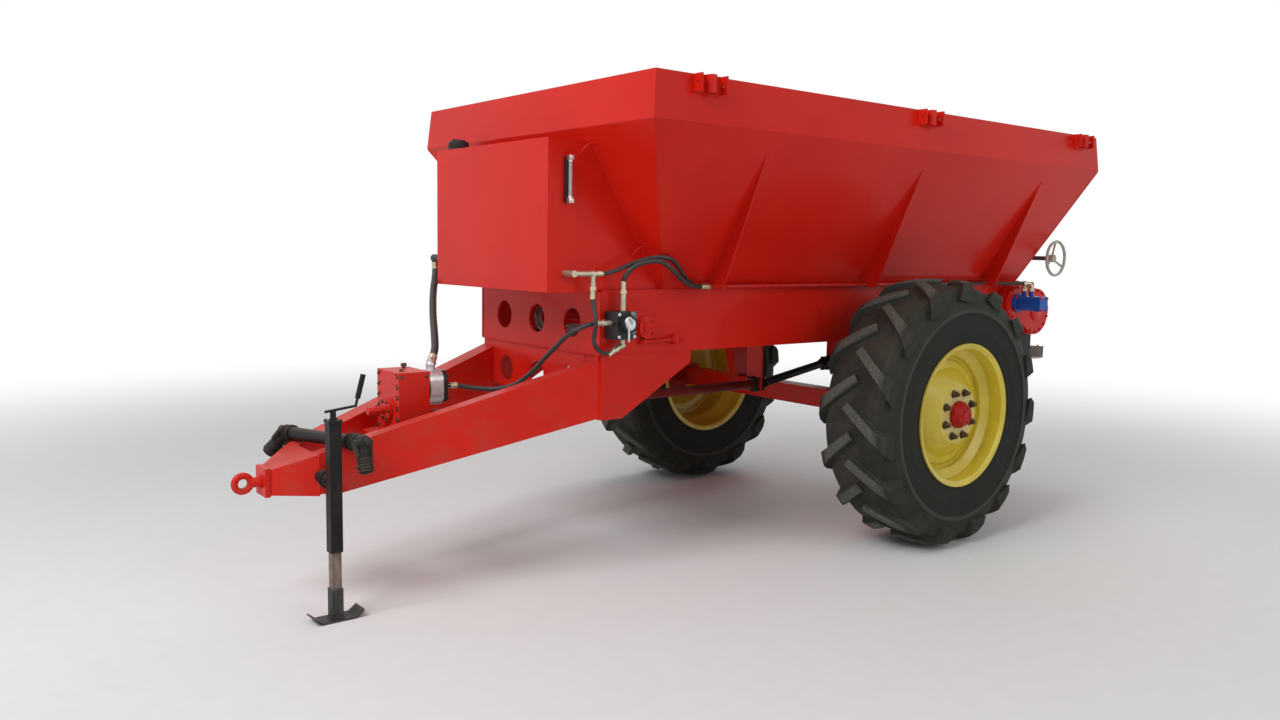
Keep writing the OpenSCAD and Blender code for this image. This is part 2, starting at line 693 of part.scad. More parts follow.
// A solid between a ring of outer corners and the same number of inner corners, in the same order;
// cells lists the convex parts of the ring where it has a notch
module slab(outer, inner, cells = undef) {
    n = len(outer);
    parts = cells == undef ? [[for (i = [0 : n - 1]) i]] : cells;
    polyhedron(concat(outer, inner), concat(
        [for (c = parts) [for (i = [len(c) - 1 : -1 : 0]) c[i]]],
        [for (c = parts) [for (i = c) n + i]],
        [for (i = [0 : n - 1]) [i, (i + 1) % n, n + (i + 1) % n, n + i]]
    ));
}
function side_corners(z0, z1, inset) = let (a = hopper_at(z0, inset), b = hopper_at(z1, inset))
    [[a[0], a[2], z0], [a[1], a[2], z0], [b[1], b[2], z1], [b[0], b[2], z1]];
function front_corners(z0, z1, inset) = let (a = hopper_at(z0, inset), b = hopper_at(z1, inset))
    [[a[1], a[2], z0], [a[1], -a[2], z0], [b[1], -b[2], z1], [b[1], b[2], z1]];
module hopper_side(side) {
    color(red) at_axle() on_side(side)
        slab(side_corners(sill_top, fold_z, 0), side_corners(sill_top, fold_z, 1));
}
module hopper_front() {
    color(red) at_axle() slab(front_corners(sill_top, fold_z, 0), front_corners(sill_top, fold_z, 1));
}
outlet_z = 1505;
outlet_y = 410;
// The rear wall's corners, with the outlet as a notch in its lower edge
function rear_corners(inset) = let (
    a = hopper_at(sill_top, inset), m = hopper_at(outlet_z, inset), b = hopper_at(fold_z, inset)
) [
    [a[0], -a[2], sill_top], [a[0], -outlet_y, sill_top], [m[0], -outlet_y, outlet_z], [m[0], outlet_y, outlet_z],
    [a[0], outlet_y, sill_top], [a[0], a[2], sill_top], [b[0], b[2], fold_z], [b[0], -b[2], fold_z]
];
wall_cells = [[0, 1, 2, 7], [2, 3, 6, 7], [3, 4, 5, 6]];
module hopper_rear() { color(red) at_axle() slab(rear_corners(0), rear_corners(1), wall_cells); }
// The band round the hopper's mouth: leaning plates with a lip turned in at the top
function band_at(z, inset) = let (k = (z - fold_z) / rim_h)
    [-hopper_rear + k * rim_lean + inset, hopper_front - k * rim_lean - inset, hopper_y - k * rim_lean - inset];
module band_block(z0, z1, inset) {
    a = band_at(z0, inset);
    b = band_at(z1, inset);
    slab([[a[0], -a[2], z0], [a[0], a[2], z0], [a[1], a[2], z0], [a[1], -a[2], z0]],
        [[b[0], -b[2], z1], [b[0], b[2], z1], [b[1], b[2], z1], [b[1], -b[2], z1]]);
}
module hopper_rim() {
    top = fold_z + rim_h;
    color(red) at_axle() difference() {
        band_block(fold_z, top, 0);
        band_block(fold_z - 10, top - sheet_t, side_in);
        band_block(top - sheet_t - 1, top + 1, rim_lip);
    }
}

// Ribs on the side walls: plates that stand off the wall and widen downwards
rib_xs = [1250, 100, -1050];
rib_top_z = 1975;
notch_h = 40;
notch_w = 66;
module side_ribs() {
    color(red) at_axle() for (side = [1, -1]) on_side(side) for (x = rib_xs) rib(x);
}
module rib(x) {
    low = hopper_at(sill_top, 0)[2];
    plate_yz([
        [low + notch_w, sill_top], [low + rib_depth, sill_top], [hopper_at(rib_top_z, 0)[2], rib_top_z],
        [hopper_at(sill_top + notch_h, 0)[2], sill_top + notch_h], [low + notch_w, sill_top + notch_h]
    ], x - rib_t / 2, x + rib_t / 2);
}

// Sockets on the rim band
bracket_xs = [1670, 150, -1370];
bracket_len = 150;
bracket_half = 38;
bracket_d = 46;
socket_wall = 8;
socket_r = 15;
pin_hole_r = 8;
bracket_z = fold_z + rim_h - bracket_half;
module rim_brackets() {
    color(red) at_axle() for (side = [1, -1]) on_side(side) for (x = bracket_xs) rim_bracket(x);
}
module rim_bracket(x) {
    z0 = bracket_z - bracket_half;
    z1 = bracket_z + bracket_half;
    low = band_at(z0, 0)[2];
    high = band_at(z1, 0)[2];
    half = bracket_len / 2;
    difference() {
        union() {
            plate_yz([[low, z0], [low + socket_wall, z0], [low + socket_wall, z1], [high, z1]], x - half, x + half);
            for (end = [x - half, x + half - socket_wall])
                plate_yz([[low, z0], [low + bracket_d, z0], [low + bracket_d, z1], [high, z1]], end, end + socket_wall);
            translate([x, low + bracket_d / 2, z0]) cylinder(r = bracket_d / 2, h = z1 - z0);
        }
        translate([x, low + bracket_d / 2, z0 - 1]) cylinder(r = socket_r, h = z1 - z0 + 2);
        rod_x(low + bracket_d / 2, bracket_z, pin_hole_r, x - half - 1, x - half + socket_wall + 1);
        rod_x(low + bracket_d / 2, bracket_z, pin_hole_r, x + half - socket_wall - 1, x + half + 1);
    }
}

// Oil tank against the hopper's front wall
tank_low = sill_top - 10;
module oil_tank() {
    function wall_x(z) = throat_front + (z - sill_top) * front_slope + seat_gap;
    color(red) at_axle()
        plate_xz([[tank_front, tank_low], [tank_front, tank_top], [wall_x(tank_top), tank_top],
            [wall_x(sill_top), sill_top], [sill_front + front_plate_t, sill_top],
            [sill_front + front_plate_t, tank_low]], -tank_y, tank_y);
}
port_z = 1470;
return_z = 1425;
return_x = tank_front - 91;
gauge_back = 109;
gauge_z = 1735;
gauge_h = 197;
pipe_out_y = 576;
tee_x = 1957;
tee_low = 1352;
cap_x = 2095;
cap_y = -395;
module tank_fittings() {
    color(black) at_axle() {
        translate([cap_x, cap_y, tank_top]) cylinder(r = 48, h = 42);
        span([tank_front - gauge_back, tank_y, gauge_z], [tank_front - gauge_back + 26, tank_y + 22, gauge_z + gauge_h]);
        // return port on the left side, with a pipe turned back and a tee
        rod_y(return_x, return_z, 15, tank_y, pipe_out_y + 13);
        rod_x(pipe_out_y, return_z, 13, tee_x - 12, return_x);
        translate([tee_x, pipe_out_y, tee_low]) cylinder(r = 12, h = return_z - tee_low);
        // suction port on the right side, turned down
        rod_y(suction_end[0], port_z, 20, suction_end[1] - 20, -tank_y);
        translate(suction_end) cylinder(r = 20, h = port_z - suction_end[2]);
    }
}

// Conveyor
floor_top = shaft_z + sprocket_r - 13;
floor_t = 5;
module conveyor_floor() {
    inner = sill_y - sill_t;
    color(steel) at_axle()
        span([-rear_shaft_x + 95, -inner, floor_top - floor_t], [front_shaft_x - 95, inner, floor_top]);
}
chain_h = 22;
chain_w = 34;
slat_y = 480;
slat_w = 42;
slat_h = 14;
run_len = front_shaft_x + rear_shaft_x;
loop_len = 2 * run_len + 2 * PI * sprocket_r;
// Both runs and both turns of the chain, seen from the side
module hull_flat(r) {
    translate([front_shaft_x, shaft_z]) circle(r = r);
    translate([-rear_shaft_x, shaft_z]) circle(r = r);
    translate([-rear_shaft_x, shaft_z - r]) square([run_len, 2 * r]);
}
module conveyor_chains() {
    color(steel) at_axle() union() {
        for (side = [1, -1]) translate([0, side * chain_y + chain_w / 2, 0]) rotate([90, 0, 0]) linear_extrude(chain_w)
            difference() {
                hull_flat(sprocket_r + chain_h / 2);
                hull_flat(sprocket_r - chain_h / 2);
            }
    }
}
// Flat bars that lie across both chains, each against their outer face
module conveyor_slats() {
    color(steel) at_axle() for (i = [0 : slat_count - 1]) slat(i * loop_len / slat_count);
}
// A slat at a distance along the loop, from the rear end of the upper run
module slat(s) {
    turn = PI * sprocket_r;
    if (s < run_len) slat_at(-rear_shaft_x + s, shaft_z + sprocket_r, 0);
    else if (s < run_len + turn) slat_turned(front_shaft_x, (s - run_len) / sprocket_r * 180 / PI);
    else if (s < 2 * run_len + turn) slat_at(front_shaft_x - (s - run_len - turn), shaft_z - sprocket_r, 180);
    else slat_turned(-rear_shaft_x, 180 + (s - 2 * run_len - turn) / sprocket_r * 180 / PI);
}
module slat_at(x, z, a) { translate([x, 0, z]) rotate([0, a, 0]) slat_bar(); }
module slat_turned(x, a) { translate([x, 0, shaft_z]) rotate([0, a, 0]) translate([0, 0, sprocket_r]) slat_bar(); }
module slat_bar() {
    span([-slat_w / 2, -slat_y, chain_h / 2], [slat_w / 2, slat_y, chain_h / 2 + slat_h]);
}
sprocket_w = 24;
module sprockets(x) {
    for (side = [1, -1]) rod_y(x, shaft_z, sprocket_r - chain_h / 2 - seat_gap, side * chain_y - sprocket_w / 2,
        side * chain_y + sprocket_w / 2);
}
bearing_r = 52;
module front_shaft() {
    color(red) at_axle() union() {
        rod_y(front_shaft_x, shaft_z, shaft_r, -sill_y - 34, sill_y + 34);
        sprockets(front_shaft_x);
        for (side = [1, -1]) on_side(side) rod_y(front_shaft_x, shaft_z, bearing_r, sill_y, sill_y + 26);
    }
}
// Screws that draw the front shaft forward, each between a lug on the sill and the shaft's bearing
screw_x = 1450;
screw_r = 8;
screw_z = shaft_z - bearing_r - screw_r - 4;
module take_ups() {
    color(red) at_axle() for (side = [1, -1]) on_side(side) union() {
        span([screw_x - 10, sill_y, screw_z - 18], [screw_x + 10, sill_y + 34, screw_z + 26]);
        rod_x(sill_y + 18, screw_z, screw_r, screw_x - 40, front_shaft_x + 40);
        rod_x(sill_y + 18, screw_z, screw_r + 6, screw_x + 10, screw_x + 22);
        span([front_shaft_x + 14, sill_y, screw_z - 14], [front_shaft_x + 30, sill_y + 32, screw_z + 10]);
    }
}
module rear_shaft() {
    color(steel) at_axle() union() {
        rod_y(-rear_shaft_x, shaft_z, shaft_r, -sill_y - 34, sill_y + case_gap);
        sprockets(-rear_shaft_x);
        mirror([0, 1, 0]) rod_y(-rear_shaft_x, shaft_z, bearing_r, sill_y, sill_y + 26);
    }
}
case_gap = 12;
case_w = 64;
case_r = 150;
motor_x = 1392;
motor_z = 1234;
motor_seat_r = 112;
module drive_case() {
    x0 = -rear_shaft_x;
    color(red) at_axle() union() {
        rod_y(x0, shaft_z, case_r, sill_y + case_gap, sill_y + case_gap + case_w);
        rod_y(-motor_x, motor_z, motor_seat_r, sill_y + case_gap, sill_y + case_gap + case_w);
        plate_xz([[x0, shaft_z + case_r - 4], [-motor_x, motor_z + motor_seat_r - 4],
            [-motor_x, motor_z - motor_seat_r + 4], [x0, shaft_z - case_r + 4]], sill_y + case_gap, sill_y + case_gap + case_w);
        rod_y(-motor_x, motor_z, 40, sill_y, sill_y + case_gap);
    }
}
motor_len = 190;
motor_face = sill_y + case_gap + case_w;
port_ys = [50, 100];
port_top = motor_z + 80;
module drive_motor() {
    y0 = motor_face;
    color(blue) at_axle() union() {
        rod_y(-motor_x, motor_z, 58, y0, y0 + 22);
        rod_y(-motor_x, motor_z, 48, y0 + 22, y0 + motor_len - 30);
        span([-motor_x - 46, y0 + motor_len - 30, motor_z - 46], [-motor_x + 46, y0 + motor_len, motor_z + 46]);
        for (dy = port_ys) translate([-motor_x, y0 + dy, motor_z + 40]) cylinder(r = 14, h = port_top - motor_z - 40);
    }
}

// Rear gate: a plate with two racks that slides up the outside of the rear wall
gate_angle = atan(rear_slope);
pitch_r = gear_module * pinion_teeth / 2;
rack_y = 300;
rack_w = 30;
gate_gap = 2;
// Frame of the gate: u runs up the slope from the closed gate's lower edge, v out of the wall
module on_wall() {
    x = -throat_rear - (gate_z - sill_top) * rear_slope;
    translate([x, 0, gate_z]) rotate([0, -gate_angle, 0]) mirror([1, 0, 0]) children();
}
rack_v = gate_gap + gate_t + 14 + gear_module * 1.25;
shaft_u = 262;
shaft_v = rack_v + pitch_r;
rack_len = 340;
tooth_pitch = PI * gear_module;
pressure = 20;
module rack_teeth(u0, u1) {
    add = gear_module;
    half = tooth_pitch / 4 - 0.5;
    first = ceil((u0 - shaft_u) / tooth_pitch) + 1;
    last = floor((u1 - shaft_u) / tooth_pitch) - 1;
    for (i = [first : last]) {
        c = shaft_u + i * tooth_pitch;
        translate([0, rack_w / 2, 0]) rotate([90, 0, 0]) linear_extrude(rack_w) polygon([
            [rack_v - add * 1.25, c - half - add * 1.25 * tan(pressure)], [rack_v + add * 0.9, c - half + add * 0.9 * tan(pressure)],
            [rack_v + add * 0.9, c + half - add * 0.9 * tan(pressure)], [rack_v - add * 1.25, c + half + add * 1.25 * tan(pressure)]
        ]);
    }
}
module gate() {
    color(red) at_axle() on_wall() union() {
        span([gate_gap, -gate_y, 0], [gate_gap + gate_t, gate_y, gate_h]);
        for (side = [1, -1]) translate([0, side * rack_y, 0]) {
            span([gate_gap + gate_t, -rack_w / 2, 20], [rack_v - gear_module * 1.25, rack_w / 2, 20 + rack_len]);
            rack_teeth(20, 20 + rack_len);
        }
    }
}
guide_w = 40;
guide_top = 560;
module gate_guides() {
    color(red) at_axle() on_wall() for (side = [1, -1]) on_side(side) {
        span([0, gate_y + gate_gap, 85], [gate_gap + gate_t + 2, gate_y + guide_w, guide_top]);
        span([gate_gap + gate_t + 2, gate_y - 14, 85], [gate_gap + gate_t + 10, gate_y + guide_w, guide_top]);
        // bearing that carries the cross shaft
        difference() {
            span([gate_gap + gate_t + 10, gate_y + 8, shaft_u - 30], [shaft_v + 26, gate_y + guide_w, shaft_u + 30]);
            translate([shaft_v, 0, shaft_u]) rotate([-90, 0, 0]) cylinder(r = gate_shaft_r + run_gap, h = 1000);
        }
    }
}
gate_shaft_r = 14;
handwheel_y = 756;
// Profile of a pinion tooth: an involute flank from the base circle to the tip
base_r = pitch_r * cos(pressure);
tip_r = pitch_r + gear_module * 0.9;
root_r = pitch_r - gear_module * 1.2;
function involute(r) = sqrt(pow(r / base_r, 2) - 1) * 180 / PI - acos(base_r / r);
function flank(r) = 90 / pinion_teeth - 0.8 - (involute(max(r, base_r)) - involute(pitch_r));
module pinion(w) {
    rs = [base_r, (base_r + pitch_r) / 2, pitch_r, (pitch_r + tip_r) / 2, tip_r];
    n = len(rs);
    linear_extrude(w) union() {
        circle(r = root_r);
        for (i = [0 : pinion_teeth - 1]) rotate((i + 0.5) * 360 / pinion_teeth + 180) polygon(concat(
            [[root_r * 0.8 * cos(flank(base_r)), -root_r * 0.8 * sin(flank(base_r))]],
            [for (j = [0 : n - 1]) [rs[j] * cos(flank(rs[j])), -rs[j] * sin(flank(rs[j]))]],
            [for (j = [n - 1 : -1 : 0]) [rs[j] * cos(flank(rs[j])), rs[j] * sin(flank(rs[j]))]],
            [[root_r * 0.8 * cos(flank(base_r)), root_r * 0.8 * sin(flank(base_r))]]
        ));
    }
}
module gate_shaft() {
    color(pale) at_axle() on_wall() translate([shaft_v, 0, shaft_u]) union() {
        rotate([-90, 0, 0]) translate([0, 0, -gate_y - guide_w - 8]) cylinder(r = gate_shaft_r, h = handwheel_y + gate_y + guide_w);
        for (side = [1, -1]) translate([0, side * rack_y - rack_w / 2 + 2, 0]) rotate([-90, 0, 0]) pinion(rack_w - 4);
        translate([0, handwheel_y - 34, 0]) rotate([-90, 0, 0]) handwheel();
    }
}
wheel_rim_r = 9;
module handwheel() {
    r = handwheel_d / 2 - wheel_rim_r;
    cylinder(r = 24, h = 34);
    translate([0, 0, 44]) rotate_extrude() translate([r, 0]) circle(r = wheel_rim_r);
    for (a = [0, 120, 240]) rotate([0, 0, a + 20]) translate([10, 0, 17]) rotate([0, 78, 0]) cylinder(r = 6.5, h = r - 8);
}

// Spreading discs and what carries them
hang_t = 10;
beam_z0 = 726;
beam_z1 = 776;
shelf_top = beam_z0 + 12;
case_half = 60;
case_x0 = -1690;
case_x1 = -1570;
module spinner_frame() {
    color(black) at_axle() union() {
        for (side = [1, -1]) on_side(side) {
            plate_xz([[-1700, sill_z + 60], [-1520, sill_z + 60], [-1520, 960], [-1600, beam_z0], [-1700, beam_z0]],
                sill_y, sill_y + hang_t);
            span([-1700, case_half + 20, beam_z0], [-1640, sill_y, beam_z1]);
        }
        span([-1700, -case_half - 20, beam_z0], [case_x1, case_half + 20, shelf_top]);
        span([-1870, -330, beam_z0], [-1700, 330, shelf_top]);
    }
}
spin_shaft_r = 16;
spin_gap = 0.4;
spin_z = beam_z0 + 52;
module spinner_gearbox() {
    color(black) at_axle() difference() {
        union() {
            for (side = [1, -1]) on_side(side) translate([-disc_x, disc_y, shelf_top]) cylinder(r = 46, h = 70);
            rod_y(-disc_x, spin_z, 26, 20 - disc_y, disc_y - 20);
            rod_x(0, spin_z, 22, -disc_x, case_x0);
            span([case_x0, -case_half, shelf_top], [case_x1, case_half, rear_drive_z + 60]);
            // level shaft forward to the second hanger
            rod_x(0, rear_drive_z, cardan_r, case_x1, hanger_xs[1]);
        }
        for (side = [1, -1]) on_side(side) translate([-disc_x, disc_y, beam_z0 + 30]) cylinder(r = spin_shaft_r + spin_gap, h = 100);
    }
}
plate_t = 8;
vane_t = 8;
module spreading_disc(side) {
    color(steel) at_axle() on_side(side) translate([-disc_x, disc_y, 0]) union() {
        translate([0, 0, disc_z - plate_t]) cylinder(r = disc_r, h = plate_t);
        translate([0, 0, beam_z0 + 34]) cylinder(r = spin_shaft_r, h = disc_z - beam_z0 - 34);
        translate([0, 0, disc_z]) cylinder(r1 = 60, r2 = 24, h = 40);
        for (i = [0 : vane_count - 1]) rotate([0, 0, i * 360 / vane_count + 20]) {
            span([46, -vane_t / 2, disc_z], [disc_r, vane_t / 2, disc_z + vane_h]);
            span([46, -vane_t / 2, disc_z + vane_h - 6], [disc_r, 30, disc_z + vane_h]);
        }
    }
}

// Control valve on the left sill
valve_x0 = 1745;
valve_x1 = 1855;
valve_y = sill_y + 50;
valve_x = 1790;
elbow_z = 1100;
elbow_dir = [0.902, 0, -0.431];
elbow_len = 50;
module control_valve() {
    color(black) at_axle() union() {
        span([valve_x0, sill_y, 1130], [valve_x1, sill_y + 95, 1255]);
        rod_y(1800, 1200, 40, sill_y + 95, sill_y + 120);
        rod_x(valve_y, 1205, 13, valve_x1, valve_x1 + 50);
        translate([valve_x, valve_y, 1255]) cylinder(r = 13, h = 95);
        translate([valve_x, valve_y, elbow_z]) cylinder(r = 13, h = 40);
        translate([valve_x, valve_y, elbow_z]) rotate([25, 35, 0]) sphere(r = 16);
        translate([valve_x, valve_y, elbow_z]) rotate([0, acos(elbow_dir[2]), 0]) cylinder(r = 13, h = elbow_len);
    }
}
pipe_r = 9;
pipe_z = sill_top + 12;
pipe_ys = [sill_y + 22, sill_y + 46];
pipe_x1 = 1276;
// A straight round bar between two points
module rod_between(p, q, r) {
    d = q - p;
    translate(p) rotate([0, acos(d[2] / norm(d)), atan2(d[1], d[0])]) cylinder(r = r, h = norm(d));
}
// Each pipe runs along the sill, then bends out and down into a port of the motor: bend along X, port, sill
PIPE_BEND = 0;
PIPE_PORT = 1;
pipe_rows = [
    [-1150, 0],
    [-1080, 1]
];
module steel_pipes() {
    color(red) at_axle() for (row = pipe_rows) {
        y = pipe_ys[row[PIPE_PORT]];
        bend = [row[PIPE_BEND], y, pipe_z];
        over = [-motor_x, motor_face + port_ys[row[PIPE_PORT]], pipe_z];
        union() {
            rod_x(y, pipe_z, pipe_r, row[PIPE_BEND], pipe_x1);
            translate(bend) sphere(r = pipe_r + 0.5);
            rod_between(bend, over, pipe_r);
            translate(over) sphere(r = pipe_r + 2);
            rod_between(over, [over[0], over[1], port_top], pipe_r);
        }
    }
}

// Hoses: round tubes swept along routes of hand-picked points
function unit(v) = v / norm(v);
function tangent(p, i) = unit(p[min(i + 1, len(p) - 1)] - p[max(i - 1, 0)]);
// A ring round a route's point, turned from a fixed direction so that it never twists
function ring(c, t, r, n, up) = let (u = unit(cross(t, up)), v = cross(t, u))
    [for (k = [0 : n - 1]) c + r * (cos(k * 360 / n) * u + sin(k * 360 / n) * v)];
module hose(points, r, up, n = 10) {
    last = len(points) - 1;
    verts = [for (i = [0 : last]) each ring(points[i], tangent(points, i), r, n, up)];
    faces = concat(
        [[for (k = [0 : n - 1]) k]],
        [for (i = [0 : last - 1], k = [0 : n - 1])
            [i * n + k, (i + 1) * n + k, (i + 1) * n + (k + 1) % n, i * n + (k + 1) % n]],
        [[for (k = [n - 1 : -1 : 0]) last * n + k]]
    );
    polyhedron(verts, faces);
}
suction_dir = unit([-68, -90, 55]);
suction_foot = [box_x0 - 65, -10, pump_z + 102];
suction_start = suction_foot + 30 * suction_dir;
suction_end = [2130, -577, 1436];
suction_route = [suction_start, suction_start + 40 * suction_dir, [2368, -126, 1056], [2325, -215, 1116],
    [2282, -310, 1178], [2235, -405, 1243], [2188, -490, 1307], [2150, -548, 1366], suction_end - [0, 0, 24], suction_end];
pump_out = [box_x0 - pump_len - 26, 10, pump_z];
valve_in = [valve_x1 + 50, valve_y, 1205];
pressure_route = [pump_out, pump_out - [30, 0, 0], [2290, 20, 880], [2235, 46, 871], [2165, 103, 870], [2110, 180, 898],
    [2078, 268, 960], [2062, 340, 1025], [2048, 412, 1085], valve_in + [126, -93, -58], valve_in + [110, -53, -33],
    valve_in + [83, -18, -11], valve_in + [56, -4.5, -3], valve_in + [25, 0, 0], valve_in];
supply_out = [valve_x, valve_y, 1350];
supply_route = [supply_out, supply_out + [0, 0, 30], supply_out + [-3, 8, 62], supply_out + [-18, 24, 92],
    supply_out + [-46, 44, 116], [1706, 643, 1480], [1662, 656, 1484], [1618, 661, 1474], [1577, 659, 1452],
    [1538, 651, 1426], [1497, 639, 1402], [1452, 623, 1383], [1403, 605, 1370], [1352, 588, 1363],
    [pipe_x1 + 36, pipe_ys[1], pipe_z], [pipe_x1, pipe_ys[1], pipe_z]];
tee_out = [tee_x - 12, pipe_out_y, return_z];
return_route = [tee_out, tee_out - [30, 0, 0], [1870, 577, 1430], [1822, 579, 1443], [1776, 584, 1460],
    [1733, 595, 1477], [1693, 611, 1491], [1654, 630, 1500], [1614, 646, 1502], [1576, 650, 1494], [1541, 645, 1478],
    [1508, 634, 1455], [1474, 618, 1430], [1437, 600, 1406], [1397, 583, 1386], [1355, 566, 1371],
    [pipe_x1 + 36, pipe_ys[0], pipe_z], [pipe_x1, pipe_ys[0], pipe_z]];
elbow_end = [valve_x, valve_y, elbow_z] + elbow_len * elbow_dir;
tee_end = [tee_x, pipe_out_y, tee_low];
drain_route = [elbow_end, elbow_end + 6.6 * elbow_dir, elbow_end + [29.3, 0, -9.9], elbow_end + [57.1, 0, -8.9],
    elbow_end + [85.2, 0, 3], elbow_end + [108.3, 0, 26.9], elbow_end + [119.2, 4, 55.4], elbow_end + [121.4, 14, 90],
    [tee_x, 601, 1203], [tee_x, 599, 1236], [tee_x, 589, 1272], [tee_x, 580, 1301], tee_end - [0, 0, 27], tee_end];
module suction_hose() { color(rubber) at_axle() hose(suction_route, 18, [1, 0, 0]); }
module pressure_hose() { color(rubber) at_axle() hose(pressure_route, 11, [0, 0, 1]); }
module supply_hose() { color(rubber) at_axle() hose(supply_route, 11, [0, 1, 0]); }
module return_hose() { color(rubber) at_axle() hose(return_route, 10, [0, 1, 0]); }
module drain_hose() { color(rubber) at_axle() hose(drain_route, 10, [0, 1, 0]); }

tyre(1);  // tyre_left
tyre(-1);  // tyre_right
wheel_rim(1);  // rim_left
wheel_rim(-1);  // rim_right
hub(1);  // hub_left
hub(-1);  // hub_right
axle_beam();
axle_seats();
sill(1);  // sill_left
sill(-1);  // sill_right
front_plate();
cross_members();
gusset(1);  // gusset_left
gusset(-1);  // gusset_right
drawbar_arm(1);  // drawbar_arm_left
drawbar_arm(-1);  // drawbar_arm_right
drawbar_plate();
drawbar_nose();
hitch_eye();
jack_tube();
jack_crank();
jack_leg();
pto_shaft();
pump_gearbox();
oil_pump();
driveshaft_front();
driveshaft_rear();
shaft_hangers();
hopper_side(1);  // hopper_left
hopper_side(-1);  // hopper_right
hopper_front();
hopper_rear();
hopper_rim();
side_ribs();
rim_brackets();
oil_tank();
tank_fittings();
conveyor_floor();
conveyor_chains();
conveyor_slats();
front_shaft();
rear_shaft();
take_ups();
drive_case();
drive_motor();
gate();
gate_guides();
gate_shaft();
spinner_frame();
spinner_gearbox();
spreading_disc(1);  // disc_left
spreading_disc(-1);  // disc_right
control_valve();
steel_pipes();
suction_hose();
pressure_hose();
supply_hose();
return_hose();
drain_hose();
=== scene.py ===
import json
import math

import bpy
import numpy as np
from mathutils import Matrix


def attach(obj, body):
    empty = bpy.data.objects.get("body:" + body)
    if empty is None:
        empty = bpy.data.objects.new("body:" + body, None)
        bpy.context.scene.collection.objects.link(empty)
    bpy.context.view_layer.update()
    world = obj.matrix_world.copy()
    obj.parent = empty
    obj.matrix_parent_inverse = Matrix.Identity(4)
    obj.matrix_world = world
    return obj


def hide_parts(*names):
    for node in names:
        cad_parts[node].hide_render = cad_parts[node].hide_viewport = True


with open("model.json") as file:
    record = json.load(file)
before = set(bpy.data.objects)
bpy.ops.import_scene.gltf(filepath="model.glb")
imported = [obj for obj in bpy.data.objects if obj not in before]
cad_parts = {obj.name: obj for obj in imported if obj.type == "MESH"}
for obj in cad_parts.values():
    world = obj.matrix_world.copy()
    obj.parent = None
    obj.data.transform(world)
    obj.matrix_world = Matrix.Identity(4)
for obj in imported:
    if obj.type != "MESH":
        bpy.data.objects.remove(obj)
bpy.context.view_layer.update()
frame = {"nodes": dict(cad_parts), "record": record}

# The part's source measures along the machine from the wheel axle, which stands here, in metres
AXLE_X = -0.6425
AXLE_Z = 0.704
WHEEL_Y = 0.988

AHEAD = (1, 0, 0)
LEFT = (0, 1, 0)
UP = (0, 0, 1)
SIDES = {1: "left", -1: "right"}


def at_all(points):
    """Points given from the wheel axle in millimetres, moved into the part's frame in metres."""
    return np.array(points, float) / 1000 + np.array([AXLE_X, 0, 0])


def unit(v):
    """A vector divided by its own length."""
    v = np.asarray(v, float)
    return v / np.linalg.norm(v)


def aside(axis):
    """A main axis that is well off the given one."""
    return np.array(UP if abs(axis[2]) < 0.9 else AHEAD, float)


def side_vectors(axis):
    """Two unit vectors across an axis: one level, the other square to both."""
    axis = unit(axis)
    u = unit(np.cross(aside(axis), axis))
    return u, np.cross(axis, u)


def new_object(name, data):
    """An object in the scene, made of this data."""
    obj = bpy.data.objects.new(name, data)
    bpy.context.scene.collection.objects.link(obj)
    return obj


def stand(name, data, right, up, back, place):
    """A camera or lamp at a place; it faces away from its back vector."""
    obj = new_object(name, data)
    matrix = np.eye(4)
    for column, vector in enumerate((right, up, back, place)):
        matrix[:3, column] = vector
    obj.matrix_world = Matrix(matrix.tolist())
    return obj


# Camera

CAMERA_PLACE = (4.6027 + AXLE_X, 4.2336, 1.5448)
CAMERA_YAW = -2.2445
CAMERA_PITCH = 0.11025
CAMERA_ROLL = 0.0185
# The solved focal length over the picture's width, both in pixels, and a last small correction
FOCAL_SHARE = 1009.67 / 1280 * 1.008
SENSOR_WIDTH = 36
CLIP_END = 200


def set_camera():
    """Looks along the unit vector of yaw and pitch; its right and up vectors are turned by the roll."""
    data = bpy.data.cameras.new("camera")
    data.sensor_width = SENSOR_WIDTH
    data.lens = FOCAL_SHARE * SENSOR_WIDTH
    data.clip_end = CLIP_END
    ahead = np.array([
        math.cos(CAMERA_YAW) * math.cos(CAMERA_PITCH),
        math.sin(CAMERA_YAW) * math.cos(CAMERA_PITCH),
        -math.sin(CAMERA_PITCH),
    ])
    level = np.array([math.sin(CAMERA_YAW), -math.cos(CAMERA_YAW), 0])
    above = np.cross(level, ahead)
    right = level * math.cos(CAMERA_ROLL) + above * math.sin(CAMERA_ROLL)
    up = above * math.cos(CAMERA_ROLL) - level * math.sin(CAMERA_ROLL)
    bpy.context.scene.camera = stand("camera", data, right, up, -ahead, CAMERA_PLACE)


set_camera()


# Shader maths

